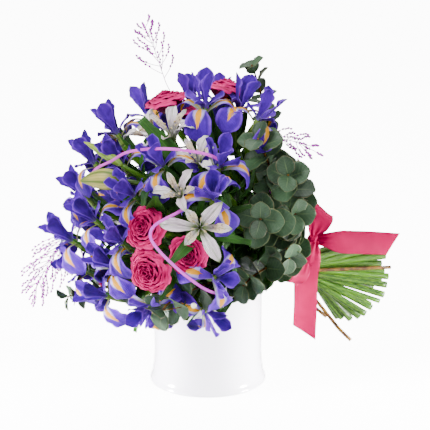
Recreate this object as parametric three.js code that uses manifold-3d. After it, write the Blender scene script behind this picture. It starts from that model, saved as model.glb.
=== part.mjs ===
// A hand-tied bouquet of irises, roses, alstroemerias and eucalyptus, lying on its side across the mouth
// of a round white vase. Millimetres, +Z up, +Y away from the front. The origin is the middle of the
// vase's underside. The bouquet is a dome of flowers whose stems run back through one tying point.

import * as THREE from 'three';
import { mergeVertices } from 'three/addons/utils/BufferGeometryUtils.js';
import Module from 'manifold-3d';

const wasm = await Module();
wasm.setup();

// ---- Driving dimensions ----

const GAP = 0.35;                 // clearance where one piece passes or rests on another
const MERGE = 1e-3;

const VASE_RADIUS = 82;
const VASE_HEIGHT = 166;          // its rim carries the lowest stems
const VASE_WALL = 4.5;
const VASE_FLOOR = 7;
const FOOT_RADIUS = 89;
const FOOT_HEIGHT = 44;
const VASE_SIDES = 32;

const TIE = vec(146, 50, 171);    // the middle of the bundle where the ribbon holds it
const HEAD = vec(-38, -38, 275);  // the middle of the dome of flowers
const DOME_DEPTH = 115;           // from HEAD to the foremost bloom
const DOME_RADIUS = 165;          // from the bouquet's axis to the widest blooms
const TIE_RADIUS = 22.5;          // bundle of green stems at the tie
const WOODY_RING = 24;            // woody and dyed stems lie round the green ones
const TWIST = 78;                 // degrees that the spiral turns between the tie and the dome
const WIDEST_DEPTH = 1.45;        // spreads the stems evenly over the tie
const STEM_BELOW_TIE = 138;
const STEM_RADIUS = 5.2;          // at the cut end
const TIED_RADIUS = 2.5;          // where the ribbon presses the stems together
const TIED_LENGTH = 8;
const STEM_SIDES = 3;
const TIED_SKIN = 0.7;            // the pressed bundle stands this far past the outermost stems' middles
const LEAVING = 45;               // a stem keeps its flower's direction for this long
const ARRIVING = 90;              // and takes the tie's direction this far before it
const RIM_CLEAR = 0.5;            // stems that would cut the rim pass this far above it

const OVER_RIM = VASE_HEIGHT + RIM_CLEAR + STEM_RADIUS;

const PETAL_HALF = 0.8;           // half the thickness of a petal or leaf along its middle
const LEAF_HALF = 0.75;

const RIBBON_WIDTH = 36;
const RIBBON_HALF = 0.7;
const BAND_RADIUS = 33;
const BAND_HALF_WIDTH = 8;

const UP = vec(0, 0, 1);
const TO_VIEWER = vec(0, -0.97, 0.23);

const COLOURS = {
  vase: [0xf6f5f8, 0.12],
  ribbon: [0xee3a82, 0.45],
  stem: [0x5a8f35, 0.6],
  iris: [0x5b45b8, 0.6],
  rose: [0xdd2a6c, 0.6],
  alstroemeria: [0xf1eef2, 0.6],
  bud: [0xc3c88f, 0.55],
  eucalyptus: [0x5f7560, 0.65],
  grass: [0xa04fa5, 0.7],
  cane: [0xd993d6, 0.5],
};

// ---- Small helpers ----

function vec(x, y, z) {
  return new THREE.Vector3(x, y, z);
}

function radians(degrees) {
  return THREE.MathUtils.degToRad(degrees);
}

function mix(a, b, t) {
  return a.clone().lerp(b, t);
}

function along(origin, ...steps) {
  const point = origin.clone();
  for (const [direction, distance] of steps) {
    point.addScaledVector(direction, distance);
  }
  return point;
}

function across(direction, axis) {
  return direction.clone().addScaledVector(axis, -direction.dot(axis)).normalize();
}

// ---- The bouquet's own frame: its axis, and two directions across it ----

const AXIS = HEAD.clone().sub(TIE).normalize();
const ACROSS_UP = across(UP, AXIS);
const ACROSS_BACK = AXIS.clone().cross(ACROSS_UP);

function lateral(degrees) {
  const turn = radians(degrees);
  return along(vec(0, 0, 0), [ACROSS_UP, Math.cos(turn)], [ACROSS_BACK, Math.sin(turn)]);
}

// A point of the dome: lean degrees from the bouquet's axis, turned by turn degrees round it from its
// upper side, and lifted off the dome along its normal.
function domePlace(lean, turn, lift = 0) {
  const side = lateral(turn);
  const s = Math.sin(radians(lean));
  const c = Math.cos(radians(lean));
  const normal = along(vec(0, 0, 0), [AXIS, c / DOME_DEPTH], [side, s / DOME_RADIUS]).normalize();
  const point = along(HEAD, [AXIS, DOME_DEPTH * c], [side, DOME_RADIUS * s], [normal, lift]);
  return { point, normal };
}

// ---- Solids ----

// A closed three.js geometry becomes a solid: its doubled vertices are merged, triangles that have
// shrunk to a line are dropped, and one that is inside out is turned.
function solidOf(geometry) {
  const plain = new THREE.BufferGeometry().copy(geometry);
  plain.deleteAttribute('normal');
  plain.deleteAttribute('uv');
  const merged = mergeVertices(plain, MERGE);
  const places = merged.attributes.position;
  const corner = (i) => new THREE.Vector3().fromBufferAttribute(places, i);
  const triangles = [];
  let volume = 0;
  for (let i = 0; i < merged.index.count; i += 3) {
    const [a, b, c] = [0, 1, 2].map((k) => merged.index.getX(i + k));
    if (a !== b && b !== c && c !== a) {
      triangles.push(a, b, c);
      volume += corner(a).dot(corner(b).cross(corner(c)));
    }
  }
  if (volume < 0) {
    triangles.reverse();
  }
  return new wasm.Manifold(new wasm.Mesh({
    numProp: 3,
    vertProperties: Float32Array.from(places.array),
    triVerts: Uint32Array.from(triangles),
  }));
}

// A closed skin over sections with the same number of corners. Each wall between two sections is cut
// along a diagonal. The two sides of a thin petal or strip have to be cut the same way, or they would
// pass through each other where it twists, so the walls in turnedWalls are cut along the other diagonal.
function loft(sections, turnedWalls, capped) {
  const corners = sections[0].length;
  const last = sections.length - 1;
  const at = (i, k) => i * corners + k % corners;
  const triangles = [];
  for (let i = 0; i < last; i += 1) {
    for (let k = 0; k < corners; k += 1) {
      const [a, b, c, d] = [at(i, k), at(i, k + 1), at(i + 1, k + 1), at(i + 1, k)];
      triangles.push(...(turnedWalls.includes(k) ? [a, b, d, b, c, d] : [a, b, c, a, c, d]));
    }
  }
  for (let k = 2; k < corners && capped; k += 1) {
    triangles.push(at(0, 1), at(0, k + 1), at(0, k), at(last, 1), at(last, k), at(last, k + 1));
  }
  const geometry = new THREE.BufferGeometry().setFromPoints(sections.flat());
  geometry.setIndex(triangles);
  return geometry;
}

const ANY_SIDE = vec(0.31, 0.22, 0.93);

// A round or many-sided bar along points, with a radius at each. Its first corner lies towards a side.
function bar(points, radii, sides, grow, firstCorner = ANY_SIDE) {
  const last = points.length - 1;
  let normal = firstCorner;
  const sections = points.map((point, i) => {
    const before = points[Math.max(i - 1, 0)];
    const after = points[Math.min(i + 1, last)];
    const tangent = after.clone().sub(before).normalize();
    normal = across(normal, tangent);
    const side = tangent.clone().cross(normal);
    const push = i === 0 ? -grow : i === last ? grow : 0;
    const radius = radii[i] > 0 ? radii[i] + grow : grow;
    return Array.from({ length: sides }, (_, k) => {
      const angle = 2 * Math.PI * k / sides;
      const spoke = [[normal, radius * Math.cos(angle)], [side, radius * Math.sin(angle)]];
      return radius === 0 ? point.clone() : along(point, ...spoke, [tangent, push]);
    });
  });
  return solidOf(loft(sections, [], true));
}

// A petal or leaf. Its middle line is a row of [out, rise] places in the frame's out-up plane, and each
// row also has the half width and how far the two edges curl up. It is thick along its middle and thin
// at its edges, and starts from a point inside what carries it.
function blade(frame, rows, half, grow) {
  const last = rows.length - 1;
  const sections = rows.map(([out, rise, width, curl = 0], i) => {
    const before = rows[Math.max(i - 1, 0)];
    const after = rows[Math.min(i + 1, last)];
    const run = new THREE.Vector2(after[0] - before[0], after[1] - before[1]).normalize();
    const thick = i === 0 || i === last ? 0 : half;
    const push = i === 0 ? -grow : i === last ? grow : 0;
    const wide = width + 4 * grow;
    const deep = thick + 1.6 * grow;
    const edge = width > 0 ? curl * wide / width : curl;
    return [[-wide, edge], [0, -deep], [wide, edge], [0, deep]].map(([aside, off]) => along(
      frame.origin,
      [frame.out, out - run.y * off + run.x * push],
      [frame.up, rise + run.x * off + run.y * push],
      [frame.side, aside],
    ));
  });
  return solidOf(loft(sections, [2, 3], grow > 0));
}

// A flat strip along places, each with the direction of its width there and the share of it.
function strip(places, width, half, grow) {
  const last = places.length - 1;
  const sections = places.map(([point, wide, share = 1], i) => {
    const before = places[Math.max(i - 1, 0)][0];
    const after = places[Math.min(i + 1, last)][0];
    const tangent = after.clone().sub(before).normalize();
    const aside = across(wide, tangent);
    const normal = tangent.clone().cross(aside);
    const push = i === 0 ? -grow : i === last ? grow : 0;
    const corners = [[-1, -1], [1, -1], [1, 1], [-1, 1]];
    return corners.map(([a, n]) => along(
      point,
      [aside, a * (width * share / 2 + grow)],
      [normal, n * (half + grow)],
      [tangent, push],
    ));
  });
  return solidOf(loft(sections, [2], true));
}

// ---- The assembly: pieces are gathered under their node's name ----

// Where two nodes meet, the one of the lower level keeps its shape and the other gives way.
const LEVEL = { vase: 0, ribbon: 1, thin: 2, stems: 3, bloom: 4, leaf: 5 };
const order = [];

function add(name, colour, level, make) {
  let node = order.find((other) => other.name === name);
  if (!node) {
    node = { name, colour, place: order.length, pieces: [] };
    order.push(node);
  }
  node.pieces.push({ node, level, make, choices: [[0, 0, 1]] });
}

// A petal or leaf may be bent a little up or down, turned aside, or be a little smaller, to pass its
// neighbours: degrees up, degrees aside and size.
const WAYS = [
  [0, 0], [7, 0], [-7, 0], [0, 8], [0, -8], [13, 0], [-13, 0], [8, 10], [8, -10], [-8, 10], [-8, -10],
];
const BENDS = [1, 0.86, 0.74].flatMap((size) => WAYS.map(([pitch, yaw]) => [pitch, yaw, size]));

function bent(frame, [pitch, yaw]) {
  const side = frame.side.clone().applyAxisAngle(frame.up, radians(yaw));
  const out = frame.out.clone().applyAxisAngle(frame.up, radians(yaw)).applyAxisAngle(side, radians(-pitch));
  return { origin: frame.origin, out, side, up: out.clone().cross(side) };
}

function addBlade(name, colour, level, frame, rows, half) {
  add(name, colour, level, (grow, bend) => blade(bent(frame, bend), scaled(rows, bend[2]), half, grow));
  order.find((other) => other.name === name).pieces.at(-1).choices = BENDS;
}

// ---- Vase ----

function vase(grow) {
  const outer = VASE_RADIUS + grow;
  const inner = VASE_RADIUS - VASE_WALL - grow;
  const top = VASE_HEIGHT + grow;
  const floor = VASE_FLOOR + grow;
  const profile = [
    [0, 0], [FOOT_RADIUS - 1.5, 0], [FOOT_RADIUS, 1.5], [FOOT_RADIUS - 4.5, 11], [outer + 0.8, 28],
    [outer, FOOT_HEIGHT], [outer, top - 1.5], [outer - 1.5, top], [inner + 1.5, top], [inner, top - 1.5],
    [inner, floor + 8], [inner - 8, floor], [0, floor],
  ];
  const geometry = new THREE.LatheGeometry(profile.map(([r, z]) => new THREE.Vector2(r, z)), VASE_SIDES);
  return solidOf(geometry.rotateX(Math.PI / 2));
}

add('vase', 'vase', LEVEL.vase, vase);

// ---- Stems ----

// Every stem leaves its flower, runs to its own place in the tie, turned by the spiral, and goes on
// straight to its cut end. Where it would cut the vase's rim it lies over it.
function stemPath(start, heading, ring, spare) {
  const from = start.clone().sub(TIE);
  const place = across(from, AXIS).applyAxisAngle(AXIS, radians(TWIST));
  const depth = start.clone().sub(HEAD).dot(AXIS) / DOME_DEPTH;
  const share = Math.sqrt(Math.max(1 - depth, 0.02) / WIDEST_DEPTH);
  const radius = ring > 0 ? ring : TIE_RADIUS * Math.min(share, 1);
  const tie = along(TIE, [place, radius]);
  const bend = along(start, [heading, LEAVING]);
  const back = bend.clone().sub(tie).normalize();
  const curve = new THREE.CubicBezierCurve3(start, bend, along(tie, [back, ARRIVING]), tie);
  const points = [0, 0.3, 1].map((t) => curve.getPoint(t));
  points.push(along(tie, [back, -(STEM_BELOW_TIE + spare)]));
  for (const point of points) {
    if (Math.hypot(point.x, point.y) < VASE_RADIUS + 14) {
      point.z = Math.max(point.z, OVER_RIM);
    }
  }
  return points;
}

// A woody stem that would pass through the vase is bent up over the rim, on both sides of the mouth.
function overRim([start, upper, tie, end]) {
  for (let t = 1; t > 0; t -= 0.04) {
    const place = mix(upper, tie, t);
    if (Math.hypot(place.x, place.y) < VASE_RADIUS + 6 && place.z < OVER_RIM) {
      upper.z = Math.max(upper.z, OVER_RIM + 4);
      place.z = OVER_RIM;
      return [start, upper, place, tie, end];
    }
  }
  return [start, upper, tie, end];
}

// Where the ribbon holds them, the stems are pressed into one bundle.
add('stems_and_leaves', 'stem', LEVEL.stems, (grow) => bar(
  [along(TIE, [AXIS, TIED_LENGTH / 2]), along(TIE, [AXIS, -TIED_LENGTH / 2])],
  [TIE_RADIUS + TIED_SKIN, TIE_RADIUS + TIED_SKIN],
  8,
  grow,
));

const stemOf = {};
let stemCount = 0;

// The lengths of the cut ends differ a little, in a repeating order.
function stemSpare() {
  stemCount += 1;
  return (stemCount * 7) % 5 * 3 - 6;
}

function greenStem(name, start, heading, upper) {
  const route = stemPath(start, heading, 0, stemSpare());
  const points = upper.length > 1 ? route : [route[0], route[2], route[3]];
  const radii = [...upper, TIED_RADIUS, STEM_RADIUS];
  add('stems_and_leaves', 'stem', LEVEL.stems, (grow) => bar(points, radii, STEM_SIDES, grow));
  stemOf[name] = points;
}

// ---- Blooms ----

// The frame of a bloom: its axis leans between the dome's normal and straight up, and its first petal
// points down, turned by roll.
function bloomFrame(lean, turn, lift, rise, roll) {
  const { point, normal } = domePlace(lean, turn, lift);
  const up = normal.clone().addScaledVector(UP, rise).normalize();
  const out = across(vec(0, 0, -1), up).applyAxisAngle(up, radians(roll));
  return { origin: point, up, out, side: up.clone().cross(out) };
}

function turned(frame, degrees) {
  const out = frame.out.clone().applyAxisAngle(frame.up, radians(degrees));
  return { origin: frame.origin, up: frame.up, out, side: frame.up.clone().cross(out) };
}

function scaled(rows, size) {
  return rows.map(([out, rise, width, curl = 0]) => [out * size, rise * size, width * size, curl * size]);
}

// Rows of [out, rise, half width, curl] for an iris 96 mm across.
const FALL = [[1, -6, 0], [34, 7, 18, -2], [45, -30, 17, -1]];
const STANDARD = [[2.5, -2, 0], [12, 34, 10, 2], [18, 57, 0]];
const STYLE_ARM = [[1.5, 3, 0], [27, 25, 11, -2], [41, 24, 0]];
const IRIS_TUBE = 16;

function iris(name, lean, turn, lift, rise, roll, size) {
  const frame = bloomFrame(lean, turn, lift, rise, roll);
  for (const degrees of [0, 120, 240]) {
    const petal = turned(frame, degrees);
    const between = turned(frame, degrees + 60);
    addBlade(name, 'iris', LEVEL.bloom, petal, scaled(FALL, size), PETAL_HALF);
    addBlade(name, 'iris', LEVEL.bloom, petal, scaled(STYLE_ARM, size), PETAL_HALF);
    addBlade(name, 'iris', LEVEL.bloom, between, scaled(STANDARD, size), PETAL_HALF);
  }
  const tube = [along(frame.origin, [frame.up, 6]), along(frame.origin, [frame.up, -IRIS_TUBE])];
  add(name, 'iris', LEVEL.bloom, (grow) => bar(tube, [4, 5], 6, grow, frame.side));
  const start = along(frame.origin, [frame.up, -IRIS_TUBE - GAP]);
  greenStem(name, start, frame.up.clone().negate(), [4.8, 4]);
}

const ROSE_PETALS = 8;
const ROSE_RADIUS = 29;
const GOLDEN_ANGLE = 137.5;

function rose(name, lean, turn, lift, rise, size) {
  const frame = bloomFrame(lean, turn, lift, rise, 0);
  const step = (ROSE_RADIUS - 5) / (ROSE_PETALS - 1);
  for (let k = 0; k < ROSE_PETALS; k += 1) {
    const radius = size * (5 + step * k);
    const open = k / (ROSE_PETALS - 1);
    const half = radians(60 - 10 * open);
    const petal = turned(frame, GOLDEN_ANGLE * k);
    const cup = (out, height, share) => {
      const reach = radius * out;
      return [reach, size * height, reach * Math.sin(half * share), reach * (1 - Math.cos(half * share))];
    };
    const rows = [
      [0.42 * radius, (-8 - 4 * open) * size, 0],
      cup(0.97, 6 - 9 * open, 1),
      cup(1.04 + 0.1 * open, 17 - 11 * open, 0.66),
    ];
    add(name, 'rose', LEVEL.bloom, (grow) => blade(petal, rows, PETAL_HALF, grow));
  }
  const heart = [-19, -13, -5].map((height) => along(frame.origin, [frame.up, height * size]));
  add(name, 'rose', LEVEL.bloom, (grow) => bar(heart, [5, 16 * size, 18 * size], 6, grow));
  const start = along(frame.origin, [frame.up, -19 * size - GAP]);
  greenStem(name, start, frame.up.clone().negate(), [6]);
}

// Rows of [out, rise, half width, curl] for a floret 74 mm across, from its throat.
const OUTER_TEPAL = [[0.3, -14, 0], [24, 16, 12, 2], [40, 21, 0]];
const INNER_TEPAL = [[0.3, -11, 0], [16, 18, 6, 1], [31, 31, 0]];
const FLORET_STALK = 48;

function alstroemeria(name, lean, turn, lift, rise, florets) {
  const frame = bloomFrame(lean, turn, lift, rise, 0);
  const joint = along(frame.origin, [frame.up, -FLORET_STALK]);
  for (const [tilt, toward, roll, size] of florets) {
    const outward = turned(frame, toward);
    const up = frame.up.clone().applyAxisAngle(outward.side, radians(tilt));
    const origin = along(joint, [up, FLORET_STALK]);
    const out = across(outward.out, up).applyAxisAngle(up, radians(roll));
    const floret = { origin, up, out, side: up.clone().cross(out) };
    for (const degrees of [0, 120, 240]) {
      const outer = turned(floret, degrees);
      const inner = turned(floret, degrees + 60);
      addBlade(name, 'alstroemeria', LEVEL.bloom, outer, scaled(OUTER_TEPAL, size), PETAL_HALF);
      addBlade(name, 'alstroemeria', LEVEL.bloom, inner, scaled(INNER_TEPAL, size), PETAL_HALF);
    }
    const stalk = [along(joint, [frame.up, -3]), along(origin, [up, -18 * size]), along(origin, [up, -8])];
    add(name, 'alstroemeria', LEVEL.bloom, (grow) => bar(stalk, [2, 2.4, 3.6], 6, grow, floret.side));
  }
  const start = along(joint, [frame.up, -3 - GAP]);
  greenStem(name, start, frame.up.clone().negate(), [2.8]);
}

// A closed bud is a pointed bar with three blunt edges, on its own stem.
function bud(name, base, tip, radii, sides) {
  const heading = tip.clone().sub(base).normalize();
  const sag = Math.min(base.distanceTo(tip) * 0.06, 3);
  const points = radii.map((_, i) => {
    const t = i / (radii.length - 1);
    return along(mix(base, tip, t), [UP, sag * Math.sin(Math.PI * t)]);
  });
  add(name, 'bud', LEVEL.bloom, (grow) => bar(points, radii, sides, grow));
  greenStem(name, along(base, [heading, -GAP]), heading.clone().negate(), [3]);
}

// ---- Foliage ----

// Rows of [out, rise, half width, curl] for a round leaf of length 1.
const ROUND_LEAF = [[0, 0, 0], [0.42, 0.05, 0.44], [0.96, 0, 0.28]];
const LEAF_SPACING = 0.62;        // of a leaf's length
const LEAF_TILT = radians(24);    // from square across the stem towards its tip
const LEAF_OFFSET = 0.15;
const WOODY_RADIUS = 1.2;         // at the tip, and it gains WOODY_GAIN at each bend
const WOODY_GAIN = 0.33;

// A eucalyptus spray: a thin woody stem, with round leaves in pairs that turn by a quarter each time
// and get smaller towards its tip.
function eucalyptus(name, tip, heading, pairs, leafLength) {
  const route = overRim(stemPath(tip, heading.clone().negate().normalize(), WOODY_RING, stemSpare()));
  const radii = route.map((_, i) => WOODY_RADIUS + WOODY_GAIN * i);
  const { tangent: back } = placeAlong(route, 0);
  let across0 = across(Math.abs(back.z) > 0.8 ? vec(1, 0, 0) : UP, back);
  const corner = across0.clone().applyAxisAngle(back, radians(45));
  add(name, 'eucalyptus', LEVEL.thin, (grow) => bar(route, radii, 4, grow, corner));
  let distance = 2;
  for (let k = 0; k < pairs; k += 1) {
    const size = leafLength * (0.55 + 0.45 * Math.min(1, (k + 1) / 3));
    const { point, tangent } = placeAlong(route, distance);
    const stem = tangent.negate();
    distance += LEAF_SPACING * size;
    across0 = across(across0, stem);
    for (const flip of [0, 180]) {
      const radial = across0.clone().applyAxisAngle(stem, radians(90 * k + flip));
      const out = along(vec(0, 0, 0), [radial, Math.cos(LEAF_TILT)], [stem, Math.sin(LEAF_TILT)]);
      const up = across(stem, out);
      const leaf = { origin: along(point, [out, LEAF_OFFSET]), out, up, side: up.clone().cross(out) };
      addBlade(name, 'eucalyptus', LEVEL.leaf, leaf, scaled(ROUND_LEAF, size), LEAF_HALF);
    }
  }
}

// The place and direction at a distance along the straight pieces of a route.
function placeAlong(route, distance) {
  let left = distance;
  for (let i = 0; i < route.length - 1; i += 1) {
    const step = route[i + 1].clone().sub(route[i]);
    if (left <= step.length() || i === route.length - 2) {
      const tangent = step.clone().normalize();
      return { point: along(route[i], [tangent, left]), tangent };
    }
    left -= step.length();
  }
  return null;
}

// A long leaf springs from a stem, a distance below its bloom, and bends over through a place to its tip.
function longLeaf(route, distance, tip, width) {
  const base = placeAlong(route, distance).point;
  const out = tip.clone().sub(base).normalize();
  const up = across(TO_VIEWER, out);
  const length = base.distanceTo(tip);
  const frame = { origin: base, out, up, side: up.clone().cross(out) };
  const rows = [
    [0, 0, 0], [length * 0.45, length * 0.08, width, 1.5], [length * 0.75, length * 0.07, width * 0.85, 1],
    [length, 0, 0],
  ];
  addBlade('stems_and_leaves', 'stem', LEVEL.stems, frame, rows, LEAF_HALF);
}

// ---- Dyed grass ----

// A panicle: fine branches leave the stem by turns, and each swells into seeds.
const SEED_PLACES = [0, 0.72, 0.84, 1];
const SEED_RADII = [0.45, 0.5, 1.1, 0.4];

function grass(name, root, tip, spread, branches, droop) {
  const inner = root.clone().sub(tip).normalize();
  const route = stemPath(root, inner, WOODY_RING, stemSpare()).slice(0, 3);
  const bend = mix(root, tip, 0.5).addScaledVector(UP, droop);
  add(name, 'grass', LEVEL.thin, (grow) => bar([tip, bend, ...route], [0.35, 0.6, 0.8, 0.8, 0.8], 3, grow));
  const outward = inner.clone().negate();
  const sideways = across(Math.abs(outward.z) > 0.8 ? vec(1, 0.2, 0) : UP, outward);
  for (let k = 0; k < branches; k += 1) {
    const t = 0.12 + 0.8 * k / branches;
    const from = t < 0.5 ? mix(root, bend, 2 * t) : mix(bend, tip, 2 * t - 1);
    const radial = sideways.clone().applyAxisAngle(outward, radians(GOLDEN_ANGLE * k));
    const length = spread * (1 - 0.55 * t);
    const end = along(from, [outward, length * 0.8], [radial, length * 0.62], [UP, -droop * 0.4]);
    const beads = SEED_PLACES.map((share) => mix(from, end, share));
    add(name, 'grass', LEVEL.thin, (grow) => bar(beads, SEED_RADII, 3, grow));
  }
}

// ---- Flat canes ----

const CANE_WIDTH = 5.5;
const CANE_HALF = 0.7;

function cane(name, places) {
  const curve = new THREE.CatmullRomCurve3(places.map(([x, y, z]) => vec(x, y, z)));
  const steps = 12;
  const route = Array.from({ length: steps + 1 }, (_, i) => {
    const t = i / steps;
    return [curve.getPoint(t), curve.getTangent(t).cross(TO_VIEWER)];
  });
  add(name, 'cane', LEVEL.thin, (grow) => strip(route, CANE_WIDTH, CANE_HALF, grow));
}

// ---- Ribbon ----

function ribbonBand(grow) {
  const inner = BAND_RADIUS - RIBBON_HALF - grow;
  const outer = BAND_RADIUS + RIBBON_HALF + grow;
  const half = BAND_HALF_WIDTH + grow;
  const profile = [[inner, -half], [outer, -half], [outer, half], [inner, half], [inner, -half]];
  const geometry = new THREE.LatheGeometry(profile.map(([r, h]) => new THREE.Vector2(r, h)), 18);
  const turn = new THREE.Quaternion().setFromUnitVectors(vec(0, 1, 0), AXIS);
  return solidOf(geometry.applyQuaternion(turn).translate(TIE.x, TIE.y, TIE.z));
}

// The bow's places are measured from its knot, which sits on the upper side of the band: x, y, z, the
// direction of the ribbon's width, and the share of its width where it is gathered.
const KNOT = vec(162, 36, 209.5);

function fromKnot(rows) {
  return rows.map(([x, y, z, u, v, w, share]) => [along(KNOT, [vec(x, y, z), 1]), vec(u, v, w), share]);
}

const STANDING_LOOP = [
  [0, -3, 2, 0.5, 0.2, 0.2, 0.28], [5, -10, 20, 0.8, 0, -0.4, 0.8], [12, -10, 37, 0.72, 0, -0.7],
  [16, -3, 45, 0.72, 0, -0.7], [15, 9, 43, 0.72, 0, -0.7], [6, 12, 22, 0.8, 0, -0.4, 0.8],
  [0, 5.5, 2, 0.5, 0.2, 0.2, 0.28],
];
const LONG_TAIL = [
  [2, -2, 0, 0, 0.5, 0.9, 0.3], [20, -10, 1, 0.1, 0.1, 1, 0.7], [45, -8, -2, 0.05, 0, 1],
  [85, -2, -5, 0.05, 0, 1], [124, 5, -9, 0.3, 0, 1],
];
const SMALL_LOOP = [
  [-4, -1, -3, 0.7, 0.3, 0.4, 0.4], [-14, -26, -24, 0.6, 0.6, -0.4], [-31, -34, -50, 0.5, 0.5, -0.3],
  [-34, -42, -57, 0.6, 0.5, -0.2], [-20, -42, -44, 0.9, 0.2, -0.2], [-4, -8, -7, 0.9, 0, -0.2, 0.4],
];
const HANGING_TAIL = [
  [3, -5, -1, 0.8, 0, -0.4, 0.3], [-5, -26, -19, 0.95, 0, -0.2, 0.85], [-12, -28, -52, 1, 0, 0],
  [-12, -24, -98, 1, 0, 0], [-13, -20, -144, 1, 0, -0.5],
];
const SMALL_LOOP_WIDTH = 22;

function ribbon() {
  add('ribbon', 'ribbon', LEVEL.ribbon, ribbonBand);
  const lean = vec(0.35, 0.1, 0.93);
  const knot = [-10, 0, 9].map((step) => along(KNOT, [lean, step]));
  add('ribbon', 'ribbon', LEVEL.ribbon, (grow) => bar(knot, [6, 9, 5], 8, grow));
  const widths = [RIBBON_WIDTH, RIBBON_WIDTH, SMALL_LOOP_WIDTH, RIBBON_WIDTH];
  [STANDING_LOOP, LONG_TAIL, SMALL_LOOP, HANGING_TAIL].forEach((rows, i) => {
    const places = fromKnot(rows);
    add('ribbon', 'ribbon', LEVEL.ribbon, (grow) => strip(places, widths[i], RIBBON_HALF, grow));
  });
}

ribbon();

// ---- The flowers and where they stand ----

// lean, turn, lift off the dome, rise of the axis towards straight up, roll, size
const IRISES = [
  [62, -20, 6, 0.6, 0, 1], [68, -60, -6, 0.5, -40, 0.95], [70, -78, 6, 0.4, 25, 0.95],
  [95, -113, 0, 0.65, 12, 0.95], [112, -138, 2, 0.6, 10, 0.85], [78, -149, 0, 0.5, 10, 0.9],
  [35, -62, 0, 0.4, 10, 0.9], [23, -97, 0, 0.3, 10, 0.9], [8, -10, 0, 0.5, 30, 0.9],
  [88, -15, 2, 0.5, 20, 0.95], [96, -26, 11, 0.4, 70, 0.9], [73, 19, -6, 0.5, 50, 0.9],
  [92, 15, 1, 0.5, 10, 0.85], [34, 52, 12, 0.7, 50, 0.95], [18, 82, 20, 0.8, 30, 0.9],
  [26, 122, 14, 0.8, 40, 0.9], [24, 166, 3, 0.8, 34, 0.9], [37, 160, 30, 0.8, 50, 0.95],
  [36, -140, 0, 0.7, 15, 0.9], [46, -160, 0, 0.8, 46, 0.9], [53, 166, 18, 0.8, 30, 0.9],
  [65, -178, 10, 0.8, 50, 0.9], [64, 48, 8, 0.4, 30, 0.95], [60, 112, 4, 0.2, 20, 0.95],
  [92, 76, 2, 0.2, 50, 0.95], [88, 136, 2, 0.1, 20, 0.95],
];

// lean, turn, lift, rise, size
const ROSES = [
  [52, 13, 11, 0.5, 1.08], [59, 3, -9, 0.5, 0.95], [86, 1, 20, 0.58, 1.15], [41, -112, 4, 0.2, 1],
  [59, -129, 6, 0.1, 1], [71, -110, -8, 0.2, 0.85], [62, 80, 6, 0.3, 1], [66, 150, 2, 0.1, 1],
];

// lean, turn, lift, rise, then each floret's tilt, direction, roll and size
const ALSTROEMERIAS = [
  [35, -19, -5, 0.5, [[26, 285, 20, 1], [18, 100, 0, 1]]],
  [50, -80, 3, 0.3, [[4, 0, 30, 0.85]]],
  [67, -92, 14, 0.2, [[6, 30, 0, 1.15]]],
  [54, -54, -13, 0.4, [[4, 0, 40, 0.85]]],
  [92, 106, 4, 0.2, [[24, 0, 20, 0.95], [26, 180, 0, 0.95]]],
];

function numbered(name, i) {
  return `${name}_${String(i + 1).padStart(2, '0')}`;
}

IRISES.forEach((row, i) => iris(numbered('iris', i), ...row));
ROSES.forEach((row, i) => rose(numbered('rose', i), ...row));
ALSTROEMERIAS.forEach((row, i) => alstroemeria(numbered('alstroemeria', i), ...row));

bud('lily_bud', vec(-113, -140, 338), vec(-176, -120, 334), [3, 12, 15, 12, 1.5], 6);
bud('slender_bud', vec(-118, -105, 352), vec(-176, -60, 378), [2.5, 7, 7.5, 6, 1], 6);

// the bloom whose stem carries the leaf, how far down, the leaf's tip, its half width
const LONG_LEAVES = [
  ['alstroemeria_04', 2, [-91, -115, 420], 13],
  ['iris_08', 30, [-68, -197, 330], 15],
  ['alstroemeria_02', 26, [-4, -192, 336], 5],
  ['alstroemeria_03', 5, [-50, -222, 242], 9],
  ['alstroemeria_03', 20, [60, -184, 262], 7],
  ['iris_03', 40, [60, -178, 312], 6],
  ['iris_22', 30, [-122, -140, 176], 11],
  ['alstroemeria_01', 4, [-87, -112, 391], 8],
];
LONG_LEAVES.forEach(([name, distance, tip, width]) => longLeaf(stemOf[name], distance, vec(...tip), width));

// tip, the direction it points, pairs of leaves, leaf length
const SPRAYS = [
  [[64, -5, 482], [-0.4, -0.1, 0.9], 4, 28],
  [[70, -112, 392], [-0.3, -0.6, 0.7], 4, 41],
  [[112, -128, 344], [0.1, -0.95, 0.25], 5, 42],
  [[124, -108, 284], [0.4, -0.85, 0.1], 4, 43],
  [[72, -172, 292], [0, -0.95, 0.1], 4, 42],
  [[118, -84, 212], [0.2, -0.85, -0.4], 4, 40],
  [[50, -146, 190], [-0.5, -0.7, -0.4], 3, 40],
  [[-206, -64, 148], [-0.8, -0.1, -0.55], 3, 30],
  [[-62, -178, 164], [-0.4, -0.6, -0.6], 3, 48],
  [[80, 95, 350], [0.3, 0.7, 0.6], 4, 42],
  [[70, 140, 235], [0.1, 0.95, 0.1], 3, 42],
];

SPRAYS.forEach(([tip, heading, ...rest], i) => {
  eucalyptus(numbered('eucalyptus', i), vec(...tip), vec(...heading), ...rest);
});

grass('grass_top', vec(-62, 14, 455), vec(-92, 0, 540), 56, 8, 4);
grass('grass_left', vec(-196, 12, 240), vec(-262, -20, 140), 80, 10, 12);
grass('grass_right', vec(80, -60, 385), vec(155, -45, 362), 45, 6, 6);

cane('cane_upper', [
  [-165, -30, 305], [-163, -62, 336], [-132, -118, 362], [-105, -146, 380], [-56, -178, 390],
  [-4, -192, 386], [18, -172, 372], [22, -140, 355],
]);
cane('cane_lower', [
  [-26, -176, 312], [-38, -212, 311], [-66, -224, 298], [-74, -228, 284], [-64, -232, 266],
  [-36, -234, 238], [-9, -226, 214], [8, -196, 196], [14, -160, 186],
]);

// ---- Giving way, joining and cutting clear ----

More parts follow.
